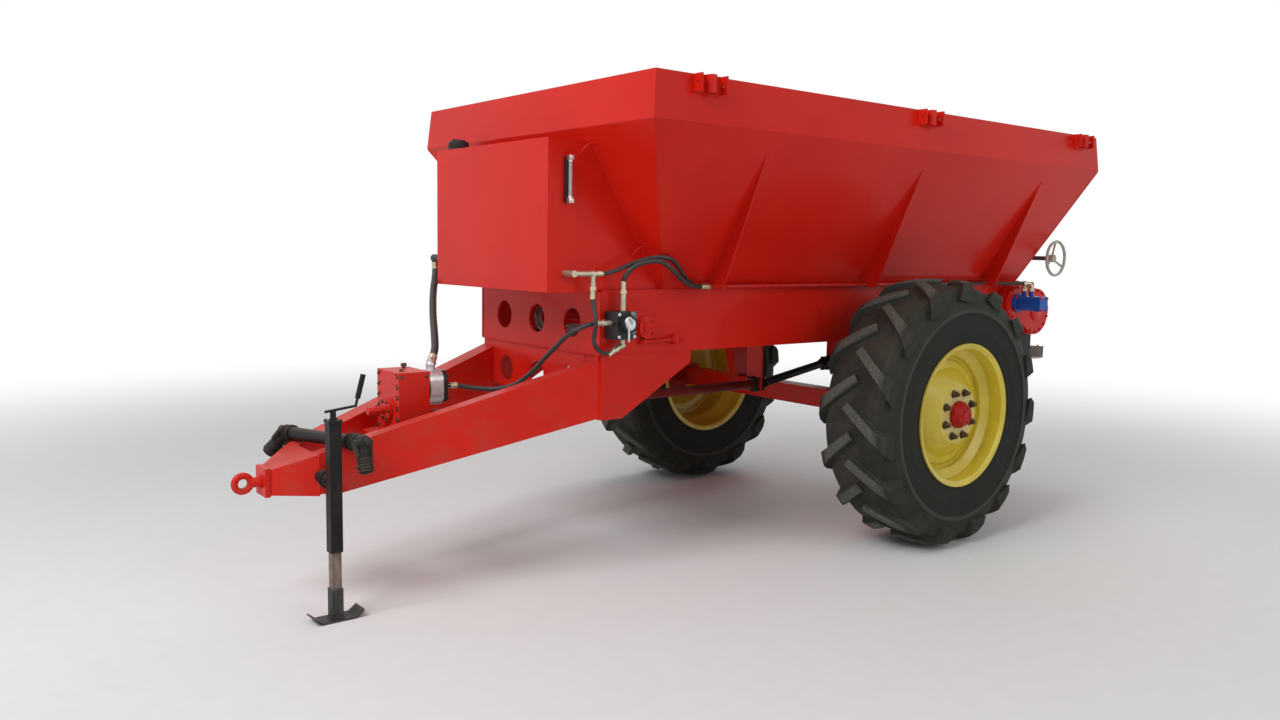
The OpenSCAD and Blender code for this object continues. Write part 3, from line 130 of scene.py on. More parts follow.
class Wire:
    """A socket of a shader tree; sums on it add Math nodes."""

    def __init__(self, shading, socket):
        self.shading = shading
        self.socket = socket

    def maths(self, operation, *values):
        node = self.shading.node("ShaderNodeMath", {"operation": operation}, values)
        return Wire(self.shading, node.outputs[0])

    def __add__(self, other):
        return self.maths("ADD", self, other)

    def __sub__(self, other):
        return self.maths("SUBTRACT", self, other)

    def __rsub__(self, other):
        return self.maths("SUBTRACT", other, self)

    def __mul__(self, other):
        return self.maths("MULTIPLY", self, other)

    __radd__ = __add__
    __rmul__ = __mul__

    def __pow__(self, other):
        return self.maths("POWER", self, other)

    def wave(self):
        """The sine of the value, raised to lie between 0 and 1."""
        return self.maths("SINE", self) * 0.5 + 0.5

    def either(self, other):
        """The larger of two values."""
        return self.maths("MAXIMUM", self, other)

    def ease(self, low, high):
        """0 below low, 1 above high, and a smooth step between; low may be the larger."""
        node = self.shading.node(
            "ShaderNodeMapRange", {"interpolation_type": "SMOOTHSTEP"},
            {"Value": self, "From Min": low, "From Max": high, "To Min": 0.0, "To Max": 1.0},
        )
        return Wire(self.shading, node.outputs["Result"])


class Shading:
    """The tree of shader nodes of a material or world, emptied first."""

    def __init__(self, owner):
        owner.use_nodes = True
        self.tree = owner.node_tree
        self.tree.nodes.clear()

    def node(self, kind, settings=(), values=()):
        """A node of a kind: its settings first, then its sockets by name, by number or in order."""
        node = self.tree.nodes.new(kind)
        for name, value in dict(settings).items():
            setattr(node, name, value)
        pairs = values.items() if isinstance(values, dict) else enumerate(values)
        for key, value in pairs:
            self.feed(node.inputs[key], value)
        return node

    def feed(self, socket, value):
        """Links a wire or socket, or sets a plain value."""
        if isinstance(value, Wire):
            self.tree.links.new(value.socket, socket)
        elif isinstance(value, bpy.types.NodeSocket):
            self.tree.links.new(value, socket)
        else:
            socket.default_value = value

    def seen(self):
        """1 on the rays that show the backdrop: from the camera, mirrored, or through glass; else 0."""
        rays = self.node("ShaderNodeLightPath").outputs
        straight, mirrored, through = (
            Wire(self, rays["Is %s Ray" % kind]) for kind in ("Camera", "Glossy", "Transmission")
        )
        return straight.either(mirrored).either(through)


class Paint(Shading):
    """A material built on one Principled shader."""

    def __init__(self, name):
        self.material = bpy.data.materials.new(name)
        super().__init__(self.material)
        self.shader = self.node("ShaderNodeBsdfPrincipled")
        self.output = self.node("ShaderNodeOutputMaterial", {}, [self.shader.outputs[0]])
        self.place = self.node("ShaderNodeTexCoord").outputs["Object"]
        self.normal = None

    def noise(self, scale, detail, rough, place=None):
        """Soft noise of a number of cells to the metre, from 0 to 1."""
        node = self.node("ShaderNodeTexNoise", {}, {
            "Vector": place or self.place, "Scale": scale, "Detail": detail, "Roughness": rough,
        })
        return Wire(self, node.outputs["Fac"])

    def stretched(self, x, y, z):
        """The place with each axis scaled, for streaks."""
        return self.node("ShaderNodeMapping", {}, {"Vector": self.place, "Scale": (x, y, z)}).outputs[0]

    def axes(self, source=None):
        """The three parts of the place, or of another vector."""
        node = self.node("ShaderNodeSeparateXYZ", {}, [source or self.place])
        return [Wire(self, out) for out in node.outputs]

    def on_wheel(self):
        """The distance from the axle's line, and the place along it."""
        x, y, z = self.axes()
        across = x - AXLE_X
        above = z - AXLE_Z
        return (across * across + above * above) ** 0.5, y

    def facing_up(self):
        """How far the surface faces up: the normal's vertical part."""
        return self.axes(self.node("ShaderNodeNewGeometry").outputs["Normal"])[2]

    def blend(self, share, first, second):
        """A colour between two colours."""
        values = {0: share, 6: colour(first), 7: colour(second)}
        return self.node("ShaderNodeMix", {"data_type": "RGBA"}, values).outputs[2]

    def soft_edge(self, radius):
        """Rounds the normal at edges by radius, and gives how far it differs from the flat one."""
        self.normal = self.node("ShaderNodeBevel", {"samples": 4}, {"Radius": radius}).outputs[0]
        flat = self.node("ShaderNodeNewGeometry").outputs["Normal"]
        dot = self.node("ShaderNodeVectorMath", {"operation": "DOT_PRODUCT"}, [self.normal, flat])
        return 1 - Wire(self, dot.outputs["Value"])

    def finish(self, base, rough, metal, height=None, depth=0.0, **plain):
        """Feeds the shader; height is a relief in metres times depth; the rest are plain values."""
        self.feed(self.shader.inputs["Base Color"], colour(base))
        self.feed(self.shader.inputs["Roughness"], rough)
        self.feed(self.shader.inputs["Metallic"], metal)
        for name, value in plain.items():
            socket = name.replace("_", " ").title().replace("Ior", "IOR")
            self.shader.inputs[socket].default_value = value
        if height is not None:
            values = {"Height": height, "Distance": depth, "Strength": 1.0}
            if self.normal is not None:
                values["Normal"] = self.normal
            self.feed(self.shader.inputs["Normal"], self.node("ShaderNodeBump", {}, values).outputs[0])
        return self.material


def colour(value):
    """A plain colour with its fourth number, or a link as it is."""
    return (*value, 1.0) if isinstance(value, tuple) and len(value) == 3 else value


def dimmed(value, share):
    """A plain colour times a number."""
    return tuple(part * share for part in value)


# Finishes: heights and radii in metres, and the colours that several of them share

DUST = (0.50, 0.40, 0.33)
GRIME = (0.17, 0.11, 0.08)
GRIME_TOP, GRIME_FULL = 1.15, 0.45
TREAD_R = 0.655
LUG_TOP_R = 0.697
LEG_SLEEVE_TOP = 0.130


def gloss_paint(name, fresh, pale, worn_to, rough=0.24, dust=0.5, soil=0.34):
    """Sprayed enamel: broad shade changes, dust on what faces up, grime low down, thin paint at edges."""
    paint = Paint(name)
    broad = paint.noise(1.7, 4.0, 0.6)
    fine = paint.noise(46.0, 3.0, 0.6)
    height = paint.axes()[2]
    grime = height.ease(GRIME_TOP, GRIME_FULL) * paint.noise(9.0, 5.0, 0.65).ease(0.42, 0.72)
    film = paint.facing_up().ease(0.55, 1.0) * (0.25 + 0.75 * broad) * dust
    edges = paint.soft_edge(0.004)
    rubbed = edges.ease(0.02, 0.20) * fine.ease(0.70, 0.76)
    base = paint.blend(broad.ease(0.3, 0.7), fresh, pale)
    base = paint.blend(film * 0.30, base, DUST)
    base = paint.blend(grime * soil, base, GRIME)
    base = paint.blend(rubbed, base, worn_to)
    peel = paint.noise(310.0, 1.0, 0.4) * 0.10
    waves = paint.noise(5.0, 2.0, 0.4) * 1.6
    streaks = paint.noise(3.0, 4.0, 0.6, paint.stretched(6.0, 6.0, 0.7)) * 0.16
    return paint.finish(
        base, rough + broad * 0.12 + film * 0.30 + grime * 0.26 + streaks * 0.35, 0.0,
        height=peel + waves + streaks, depth=0.0011,
        coat_weight=0.06, coat_roughness=0.07, specular_ior_level=0.16,
    )


def tyre_rubber(name, side):
    """Dark rubber: lug tops rubbed grey, dust in the tread, rings pressed into the side wall."""
    paint = Paint(name)
    radius, y = paint.on_wheel()
    out = y * side - WHEEL_Y
    broad = paint.noise(7.0, 4.0, 0.6)
    fine = paint.noise(120.0, 3.0, 0.6)
    tread = radius.ease(TREAD_R, TREAD_R + 0.007)
    tops = radius.ease(LUG_TOP_R - 0.013, LUG_TOP_R)
    floor = tread * radius.ease(0.679, 0.669)
    shoulder = radius.ease(0.530, 0.556) * (0.55 + 0.45 * broad.ease(0.3, 0.7))
    ring = radius.ease(0.533, 0.540) * radius.ease(0.557, 0.550)
    base = paint.blend(broad.ease(0.3, 0.75), (0.011, 0.011, 0.009), (0.019, 0.019, 0.015))
    base = paint.blend(shoulder, base, (0.032, 0.033, 0.026))
    base = paint.blend(ring * 0.6, base, (0.070, 0.068, 0.056))
    base = paint.blend(tops * (0.35 + 0.65 * fine.ease(0.35, 0.65)) * 0.85, base, (0.135, 0.140, 0.118))
    base = paint.blend(floor * broad.ease(0.40, 0.62) * 0.5, base, (0.060, 0.052, 0.042))
    wall = out.ease(0.13, 0.17) * radius.ease(TREAD_R, 0.62)
    rings = (radius * 400.0).wave() * wall * radius.ease(0.40, 0.415) * radius.ease(0.475, 0.46)
    cords = fine * 0.5 + paint.noise(34.0, 3.0, 0.6) * 1.2
    edges = paint.soft_edge(0.006)
    base = paint.blend(edges.ease(0.03, 0.25) * tread * 0.5, base, (0.15, 0.155, 0.13))
    return paint.finish(
        base, 0.62 + broad * 0.22 - tops * 0.06, 0.0,
        height=rings * 1.6 + cords, depth=0.0011, specular_ior_level=0.20,
    )


def bare_steel(name, bright, dark, rust, amount, streak=(1.0, 14.0, 14.0), rough=0.34):
    """Rolled steel: brushed along one way, rust in patches, edges rubbed bright."""
    paint = Paint(name)
    brushed = paint.noise(30.0, 3.0, 0.6, paint.stretched(*streak))
    broad = paint.noise(6.0, 5.0, 0.65)
    specks = paint.noise(75.0, 3.0, 0.7)
    spots = (broad * 0.75 + specks * 0.35).ease(0.74 - amount, 0.86 - amount)
    edges = paint.soft_edge(0.002)
    base = paint.blend(brushed, dark, bright)
    base = paint.blend(spots, base, rust)
    base = paint.blend(edges.ease(0.05, 0.3) * 0.5, base, bright)
    return paint.finish(
        base, rough + brushed * 0.16 + spots * 0.34, 0.95 - spots * 0.85,
        height=brushed * 0.5 + spots * 0.9 + specks * 0.3, depth=0.0006,
    )


def hub_paint(name, side):
    """Red enamel on the hub and cap; the nuts and studs out on the wheel disc are greased dark steel."""
    paint = Paint(name)
    radius, y = paint.on_wheel()
    nuts = radius.ease(0.084, 0.088) * (y * side).ease(WHEEL_Y + 0.150, WHEEL_Y + 0.156)
    fine = paint.noise(60.0, 4.0, 0.65)
    scuffs = paint.noise(22.0, 4.0, 0.7)
    edges = paint.soft_edge(0.003)
    enamel = paint.blend(scuffs.ease(0.3, 0.7), (0.34, 0.008, 0.005), (0.52, 0.014, 0.009))
    enamel = paint.blend(edges.ease(0.02, 0.2) * fine.ease(0.5, 0.7) * 0.8, enamel, (0.30, 0.12, 0.09))
    steel = paint.blend(fine.ease(0.35, 0.65), (0.060, 0.040, 0.022), (0.20, 0.13, 0.065))
    return paint.finish(
        paint.blend(nuts, enamel, steel), 0.34 + scuffs * 0.25 + nuts * 0.12, nuts * 0.7,
        height=fine + scuffs, depth=0.0006, specular_ior_level=0.18,
    )


def rim_paint(name):
    """Pale yellow enamel: brown dust settled in the well and round the nuts, thin spots at the flange."""
    paint = Paint(name)
    radius, _ = paint.on_wheel()
    broad = paint.noise(5.0, 4.0, 0.6)
    fine = paint.noise(70.0, 4.0, 0.65)
    edges = paint.soft_edge(0.004)
    seam = radius.ease(0.272, 0.276) * radius.ease(0.286, 0.281)
    centre = radius.ease(0.160, 0.105)
    base = paint.blend(broad.ease(0.3, 0.7), (0.62, 0.47, 0.030), (0.72, 0.58, 0.060))
    base = paint.blend(seam * fine.ease(0.30, 0.55) * 0.6, base, (0.22, 0.14, 0.03))
    base = paint.blend(centre * (0.4 + 0.6 * fine.ease(0.35, 0.6)) * 0.8, base, (0.62, 0.50, 0.24))
    base = paint.blend(edges.ease(0.03, 0.25) * fine.ease(0.50, 0.62) * 0.7, base, (0.30, 0.17, 0.07))
    rolled = (radius * 210.0).wave() * 0.24
    return paint.finish(
        base, 0.26 + broad * 0.16 + seam * 0.25, 0.0,
        height=fine * 0.4 + rolled + broad, depth=0.0009, coat_weight=0.12, coat_roughness=0.08,
    )


def jack_leg_finish(name):
    """Brown rusted steel where the leg slides, black paint on its lower sleeve and foot."""
    paint = Paint(name)
    rust = paint.noise(24.0, 5.0, 0.7, paint.stretched(1.0, 1.0, 0.35))
    fine = paint.noise(120.0, 3.0, 0.6)
    bare = paint.axes()[2].ease(LEG_SLEEVE_TOP, LEG_SLEEVE_TOP + 0.006)
    edges = paint.soft_edge(0.002)
    brown = paint.blend(rust.ease(0.35, 0.65), (0.115, 0.078, 0.058), (0.26, 0.20, 0.165))
    black = paint.blend(rust.ease(0.45, 0.7), (0.014, 0.014, 0.014), (0.075, 0.055, 0.042))
    base = paint.blend(bare, black, brown)
    base = paint.blend(edges.ease(0.05, 0.3) * fine.ease(0.45, 0.6) * 0.6, base, (0.22, 0.19, 0.17))
    return paint.finish(base, 0.45 + rust * 0.25, bare * 0.25, height=rust + fine * 0.4, depth=0.0006)


def hose_rubber(name):
    """Black hose: fabric marks along it from its own UV map, and dust on top."""
    paint = Paint(name)
    uv = paint.node("ShaderNodeUVMap", {"uv_map": "around_along"}).outputs[0]
    around, along, _ = paint.axes(uv)
    wrap = (along * 1500.0 + around * 12.6).wave() * 0.5
    dusty = paint.noise(30.0, 4.0, 0.6)
    base = paint.blend(dusty.ease(0.4, 0.7), (0.014, 0.014, 0.014), (0.036, 0.034, 0.031))
    base = paint.blend(paint.facing_up().ease(0.3, 1.0) * dusty * 0.5, base, (0.10, 0.09, 0.08))
    return paint.finish(base, 0.42 + dusty * 0.2, 0.0, height=wrap + dusty, depth=0.0005)


def zinc_finish(name):
    """Yellow-passivated zinc on the hose ends and nuts."""
    paint = Paint(name)
    tint = paint.noise(60.0, 3.0, 0.6)
    edges = paint.soft_edge(0.0012)
    base = paint.blend(tint.ease(0.3, 0.7), (0.50, 0.46, 0.36), (0.62, 0.52, 0.33))
    base = paint.blend(edges.ease(0.05, 0.3) * 0.6, base, (0.70, 0.68, 0.62))
    return paint.finish(base, 0.28 + tint * 0.2, 0.9, height=tint, depth=0.0003)


def glass_finish(name):
    """The sight tube: clear, slightly clouded."""
    paint = Paint(name)
    cloud = paint.noise(90.0, 3.0, 0.6)
    base = paint.blend(cloud, (0.60, 0.55, 0.55), (0.78, 0.72, 0.72))
    return paint.finish(base, 0.08 + cloud * 0.12, 0.0, transmission_weight=0.55, ior=1.45)


def two_finishes(name, first, second, parts, metal):
    """One finish over another: parts gives, from the place, the share of the second, plain metal one."""
    paint = Paint(name)
    share = parts(paint)
    scuffs = paint.noise(24.0, 4.0, 0.7)
    fine = paint.noise(110.0, 3.0, 0.6)
    edges = paint.soft_edge(0.0025)
    base = paint.blend(scuffs.ease(0.3, 0.7), first, dimmed(first, 1.5))
    base = paint.blend(edges.ease(0.03, 0.25) * fine.ease(0.45, 0.6) * 0.6, base, (0.20, 0.18, 0.16))
    plated = paint.blend(scuffs.ease(0.3, 0.7), second, dimmed(second, 0.7))
    return paint.finish(
        paint.blend(share, base, plated), 0.34 + scuffs * 0.22, share * metal,
        height=scuffs + fine * 0.5, depth=0.0006, specular_ior_level=0.35,
    )


def pump_metal(paint):
    """The pump's middle block and its elbow are bare, its mounting ring and end cover are black."""
    x, _, z = paint.axes()
    block_rear = 2.414 + AXLE_X
    block_front = 2.493 + AXLE_X
    middle = x.ease(block_rear - 0.001, block_rear) * x.ease(block_front + 0.001, block_front)
    return middle.either(z.ease(0.962, 0.966))


def valve_metal(paint):
    """The screwed-in fittings above, below and in front of the valve block."""
    x, _, z = paint.axes()
    ahead = x.ease(1.856 + AXLE_X, 1.858 + AXLE_X)
    return ahead.either(z.ease(1.256, 1.258)).either(z.ease(1.129, 1.127))


def port_metal(paint):
    """The pipes and tee low on the tank's left side."""
    _, y, z = paint.axes()
    return y.ease(0.5, 0.505) * z.ease(1.60, 1.55)


def pipe_rear(paint):
    """The pipes lose their red over the wheel."""
    return paint.axes()[0].ease(-0.35 + AXLE_X, -0.75 + AXLE_X)


def handwheel(paint):
    """The handwheel, out past the end of the gate's cross shaft."""
    return paint.axes()[1].ease(0.705, 0.712)


RED = (0.62, 0.011, 0.0045)
RED_PALE = (0.68, 0.018, 0.008)
BLACK = (0.011, 0.011, 0.011)
PLATED = (0.55, 0.50, 0.38)
EVEN_GRAIN = (5.0, 5.0, 5.0)

# Finishes by slot of the record, or by name where only pieces of this script wear them
paints = {
    "red_paint": gloss_paint("red_enamel", RED, RED_PALE, (0.30, 0.14, 0.11)),
    "dark_red_paint": gloss_paint(
        "dark_red_enamel", (0.13, 0.010, 0.008), (0.18, 0.016, 0.012), (0.10, 0.07, 0.06),
    ),
    "black_paint": gloss_paint(
        "black_enamel", (0.006, 0.006, 0.006), (0.013, 0.012, 0.012), (0.10, 0.085, 0.075),
        rough=0.36, soil=0.10,
    ),
    "blue_paint": gloss_paint(
        "blue_enamel", (0.010, 0.085, 0.42), (0.016, 0.12, 0.52), (0.25, 0.27, 0.30),
    ),
    "yellow_paint": rim_paint("yellow_enamel"),
    "bare_steel": bare_steel(
        "rolled_steel", (0.46, 0.44, 0.41), (0.30, 0.28, 0.26), (0.15, 0.070, 0.034), 0.10,
    ),
    "bright_steel": bare_steel(
        "bright_steel", (0.70, 0.69, 0.67), (0.52, 0.51, 0.49), (0.26, 0.17, 0.11), -0.06,
        (8.0, 1.0, 8.0), 0.24,
    ),
    "worn_steel": jack_leg_finish("worn_jack_leg"),
    "aluminium": bare_steel(
        "cast_aluminium", (0.72, 0.72, 0.73), (0.58, 0.58, 0.60), (0.40, 0.38, 0.36), -0.04,
        EVEN_GRAIN, 0.38,
    ),
    "black_plastic": gloss_paint(
        "black_moulding", (0.016, 0.016, 0.016), (0.026, 0.025, 0.024), (0.08, 0.075, 0.07), rough=0.42,
    ),
    "hose_rubber": hose_rubber("hose_rubber"),
    "zinc": zinc_finish("yellow_zinc"),
    "glass": glass_finish("sight_glass"),
    "grey_casting": bare_steel(
        "grey_casting", (0.26, 0.30, 0.27), (0.15, 0.18, 0.16), (0.10, 0.09, 0.07), 0.0, EVEN_GRAIN, 0.45,
    ),
    "worn_bolts": bare_steel(
        "greased_bolts", (0.16, 0.12, 0.08), (0.05, 0.038, 0.028), (0.10, 0.05, 0.025), 0.05,
    ),
    "dusty_black": gloss_paint(
        "dusty_black", (0.014, 0.014, 0.013), (0.036, 0.037, 0.032), (0.15, 0.15, 0.13),
        rough=0.5, dust=1.0,
    ),
}

# Nodes with a finish of their own, by name
paints["oil_pump"] = two_finishes("pump_metal", BLACK, (0.66, 0.65, 0.65), pump_metal, 0.85)
paints["control_valve"] = two_finishes("valve_metal", BLACK, PLATED, valve_metal, 0.85)
paints["tank_fittings"] = two_finishes("port_metal", BLACK, PLATED, port_metal, 0.85)
paints["steel_pipes"] = two_finishes(
    "pipe_paint", (0.42, 0.010, 0.006), (0.05, 0.035, 0.032), pipe_rear, 0.1,
)
paints["gate_shaft"] = two_finishes(
    "shaft_metal", (0.08, 0.07, 0.06), (0.56, 0.53, 0.44), handwheel, 0.0,
)
for side, word in SIDES.items():
    paints["tyre_" + word] = tyre_rubber("tyre_rubber_" + word, side)
    paints["hub_" + word] = hub_paint("hub_enamel_" + word, side)


def dress(node, material):
    """Gives every slot of a solid its finish."""
    mesh = frame["nodes"][node].data
    if not mesh.materials:
        mesh.materials.append(material)
    for i in range(len(mesh.materials)):
        mesh.materials[i] = material


for part in frame["record"]["subparts"]:
    dress(part["node"], paints.get(part["node"]) or paints[part["material_slot"]])


# Surfaces

def ring_faces(rows, sides, endless=False):
    """Quads between neighbouring rings of corners; endless joins the last ring to the first."""
    i, j = np.meshgrid(np.arange(rows if endless else rows - 1), np.arange(sides), indexing="ij")
    i, j = i.ravel(), j.ravel()
    k, m = (i + 1) % rows, (j + 1) % sides
    return np.stack([i * sides + j, i * sides + m, k * sides + m, k * sides + j], 1).tolist()


def skin(rings):
    """A skin over an array of rings of corners, with a flat face over the first and the last ring."""
    rows, sides, _ = rings.shape
    start = list(range(sides))[::-1]
    end = [(rows - 1) * sides + i for i in range(sides)]
    return rings.reshape(-1, 3), ring_faces(rows, sides) + [start, end]


def tube(path, radius, sides=16):
    """A circle carried along a path, whose frame turns no more than the path does, with flat ends.

    p(s, a) = path(s) + radius(s) (cos a u(s) + sin a v(s)).
    """
    path = np.asarray(path, float)
    ahead = np.gradient(path, axis=0)
    ahead /= np.linalg.norm(ahead, axis=1)[:, None]
    u = np.zeros_like(path)
    u[0] = unit(np.cross(aside(ahead[0]), ahead[0]))
    for i in range(1, len(path)):
        u[i] = unit(u[i - 1] - ahead[i] * (u[i - 1] @ ahead[i]))
    v = np.cross(ahead, u)
    radii = np.broadcast_to(np.asarray(radius, float), (len(path),))
    angle = np.arange(sides) * 2 * math.pi / sides
    ring = np.cos(angle)[None, :, None] * u[:, None] + np.sin(angle)[None, :, None] * v[:, None]
    return skin(path[:, None] + radii[:, None, None] * ring)


def lathe(outline, foot, axis, sides=32):
    """An outline of [radius, height] turned round an axis.

    p(h, a) = foot + h axis + r(h) (cos a u + sin a v).
    """
    foot, axis = np.asarray(foot, float), unit(axis)
    u, v = side_vectors(axis)
    outline = np.asarray(outline, float)
    angle = (np.arange(sides) + 0.5) * 2 * math.pi / sides
    ring = np.cos(angle)[:, None] * u + np.sin(angle)[:, None] * v
    return skin(foot + outline[:, 1, None, None] * axis + outline[:, 0, None, None] * ring[None])


def smooth_path(points, steps=8):
    """A Catmull-Rom curve through the points: a cubic, tangent at each point to its neighbours' line."""
    p = np.asarray(points, float)
    a = np.vstack([2 * p[0] - p[1], p[:-2]])[:, None]
    b = p[:-1, None]
    c = p[1:, None]
    d = np.vstack([p[2:], 2 * p[-1] - p[-2]])[:, None]
    t = (np.arange(steps) / steps)[None, :, None]
    square = (2 * a - 5 * b + 4 * c - d) * t ** 2
    cube = (3 * b - a - 3 * c + d) * t ** 3
    curve = 0.5 * (2 * b + (c - a) * t + square + cube)
    return np.vstack([curve.reshape(-1, 3), p[-1]])


def together(shapes):
    """Several shapes as one: the corner numbers of each are moved past those before it."""
    verts, faces, count = [], [], 0
    for points, polygons in shapes:
        verts.append(points)
        faces += [[i + count for i in polygon] for polygon in polygons]
        count += len(points)
    return np.vstack(verts), faces


def piece(name, shapes, slot, finish=None, body="chassis", bevel=0.0, angle=35):
    """Shapes as one mesh with smooth faces between its sharp edges, riding on a body.

    It wears the finish of that name, or the one of its slot.
    """
    verts, faces = together(shapes)
    mesh = bpy.data.meshes.new(name)
    mesh.from_pydata(verts.tolist(), [], faces)
    mesh.validate()
    mesh.polygons.foreach_set("use_smooth", [True] * len(mesh.polygons))
    mesh.set_sharp_from_angle(angle=math.radians(angle))
    mesh.materials.append(paints[finish or slot])
    mesh.update()
    obj = new_object(name, mesh)
    if bevel > 0:
        mod = obj.modifiers.new("rounded", "BEVEL")
        mod.width = bevel
        mod.segments = 2
        mod.limit_method = "ANGLE"
        mod.angle_limit = math.radians(angle)
    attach(obj, body)
    return obj


# Hoses: routes from the part's source, in millimetres from the wheel axle

PUMP_OUT = [2364, 10, 888]
VALVE_IN = [1905, 580, 1205]
SUPPLY_OUT = [1790, 580, 1350]
TEE_OUT = [1945, 576, 1425]
TEE_END = [1957, 576, 1352]
ELBOW = np.array([0.902, 0, -0.431])
ELBOW_END = np.array([1790, 580, 1100]) + 50 * ELBOW
SUCTION_AHEAD = unit([-68, -90, 55])
SUCTION_START = np.array([2450, -10, 990]) + 30 * SUCTION_AHEAD


def past(point, *steps):
    """Points a step away from one point."""
    return [list(np.asarray(point, float) + step) for step in steps]


ROUTES = {
    "suction_hose": (18, [
        SUCTION_START, SUCTION_START + 40 * SUCTION_AHEAD, [2368, -126, 1056], [2325, -215, 1116],
        [2282, -310, 1178], [2235, -405, 1243], [2188, -490, 1307], [2150, -548, 1366],
        [2130, -577, 1412], [2130, -577, 1436],
    ]),
    "pressure_hose": (11, [
        PUMP_OUT, [2334, 10, 888], [2290, 20, 880], [2235, 46, 871], [2165, 103, 870], [2110, 180, 898],
        [2078, 268, 960], [2062, 340, 1025], [2048, 412, 1085],
    ] + past(
        VALVE_IN, [126, -93, -58], [110, -53, -33], [83, -18, -11], [56, -4.5, -3], [25, 0, 0], [0, 0, 0],
    )),
    "supply_hose": (11, past(
        SUPPLY_OUT, [0, 0, 0], [0, 0, 30], [-3, 8, 62], [-18, 24, 92], [-46, 44, 116],
    ) + [
        [1706, 643, 1480], [1662, 656, 1484], [1618, 661, 1474], [1577, 659, 1452], [1538, 651, 1426],
        [1497, 639, 1402], [1452, 623, 1383], [1403, 605, 1370], [1352, 588, 1363], [1312, 576, 1362],
        [1276, 576, 1362],
    ]),
    "return_hose": (10, [
        TEE_OUT, [1915, 576, 1425], [1870, 577, 1430], [1822, 579, 1443], [1776, 584, 1460],
        [1733, 595, 1477], [1693, 611, 1491], [1654, 630, 1500], [1614, 646, 1502], [1576, 650, 1494],
        [1541, 645, 1478], [1508, 634, 1455], [1474, 618, 1430], [1437, 600, 1406], [1397, 583, 1386],
        [1355, 566, 1371], [1312, 552, 1362], [1276, 552, 1362],
    ]),
    "drain_hose": (10, past(
        ELBOW_END, [0, 0, 0], 6.6 * ELBOW, [29.3, 0, -9.9], [57.1, 0, -8.9], [85.2, 0, 3],
        [108.3, 0, 26.9], [119.2, 4, 55.4], [121.4, 14, 90],
    ) + [
        [1957, 601, 1203], [1957, 599, 1236], [1957, 589, 1272], [1957, 580, 1301], [1957, 576, 1325],
        TEE_END,
    ]),
}
HOSE_SIDES = 16


def hose(name, radius, route):
    """A tube round the smooth curve of its route, with a UV map of turns round and metres along it."""
    path = smooth_path(at_all(route))
    obj = piece(name + "_piece", [tube(path, radius / 1000, HOSE_SIDES)], "hose_rubber")
    steps = np.linalg.norm(np.diff(path, axis=0), axis=1)
    along = np.concatenate([[0], np.cumsum(steps)])
    mesh = obj.data
    corner = np.zeros(len(mesh.loops), int)
    mesh.loops.foreach_get("vertex_index", corner)
    layer = mesh.uv_layers.new(name="around_along")
    uv = np.stack([(corner % HOSE_SIDES) / HOSE_SIDES, along[corner // HOSE_SIDES]], 1)
    layer.data.foreach_set("uv", uv.ravel())
    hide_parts(name)
    2 * radius / 1000
    return path


paths = {name: hose(name, radius, route) for name, (radius, route) in ROUTES.items()}


def repeated(outline, step, count):
    """An outline of [radius, height], and again a step higher each time."""
    return [[r, h + step * i] for i in range(count) for r, h in outline]


def hose_end(path, radius):
    """At a path's start, in metres: a crimped sleeve with three ridges, and a hex nut beyond it."""
    end, ahead = path[0], unit(path[0] - path[2])
    r = radius / 1000
    crimp = [[r + 0.0028, -0.036], [r + 0.0028, -0.030], [r + 0.0012, -0.029], [r + 0.0012, -0.026]]
    sleeve = [[r - 0.001, -0.040], [r + 0.002, -0.040]] + repeated(crimp, 0.010, 3)
    sleeve += [[r + 0.0028, -0.005], [r + 0.0028, 0.0], [r - 0.001, 0.0]]
    nut = [[r, 0.0], [r + 0.0055, 0.0], [r + 0.0055, 0.016], [r, 0.016]]
    return [lathe(sleeve, end, ahead, 20), lathe(nut, end, ahead, 6)]


ends = []
for name, (radius, _) in ROUTES.items():
    ends += hose_end(paths[name], radius) + hose_end(paths[name][::-1], radius)
piece("hose_ends", ends, "bright_steel", "zinc", bevel=0.0006)


# Small pieces, in millimetres from the wheel axle

def turned(outline, foot, axis, sides=16):
    """An outline of [radius, height] turned round an axis, as in lathe."""
    return lathe(np.asarray(outline, float) / 1000, at_all(foot), axis, sides)


def disc(r, height, foot, axis, sides, chamfer=2):
    """A low round or many-sided plate, narrower by the chamfer at its top."""
    return turned([[r, 0], [r, height - chamfer], [r - chamfer, height]], foot, axis, sides)


def bolt(foot, axis, r):
    """A hex head with a chamfered top on a round washer; r is its radius over the corners."""
    head = [[r, 0.25 * r], [r, 0.95 * r], [0.80 * r, 1.12 * r]]
    washer = [[1.4 * r, 0], [1.4 * r, 0.25 * r]]
    return [turned(head, foot, axis, 6), turned(washer, foot, axis, 16)]


def bolts(feet, axis, r):
    """The same bolt at several places."""
    return [shape for foot in feet for shape in bolt(foot, axis, r)]


def circle_of(centre, axis, r, count, shift=0.0):
    """Points spaced evenly on a circle: p(a) = centre + r (cos a u + sin a v), from a share of a step on."""
    u, v = side_vectors(axis)
    angle = (np.arange(count) + shift) / count * 2 * math.pi
    return np.asarray(centre, float) + r * (np.cos(angle)[:, None] * u + np.sin(angle)[:, None] * v)


# A weld's ripples: their length, and their depth as a share of the bead's radius
RIPPLE = 9.0
RIPPLE_DEPTH = 0.22


def weld(p, q, r=3.5):
    """A weld bead: a thin tube whose radius rises and falls along it as 1 + RIPPLE_DEPTH sin."""
    p, q = np.asarray(p, float), np.asarray(q, float)
    ripples = np.linalg.norm(q - p) / RIPPLE
    share = np.linspace(0, 1, max(4, int(ripples * 3)))
    radius = r * (1 + RIPPLE_DEPTH * np.sin(share * ripples * 2 * math.pi))
    return tube(at_all(p + share[:, None] * (q - p)), radius / 1000, 6)


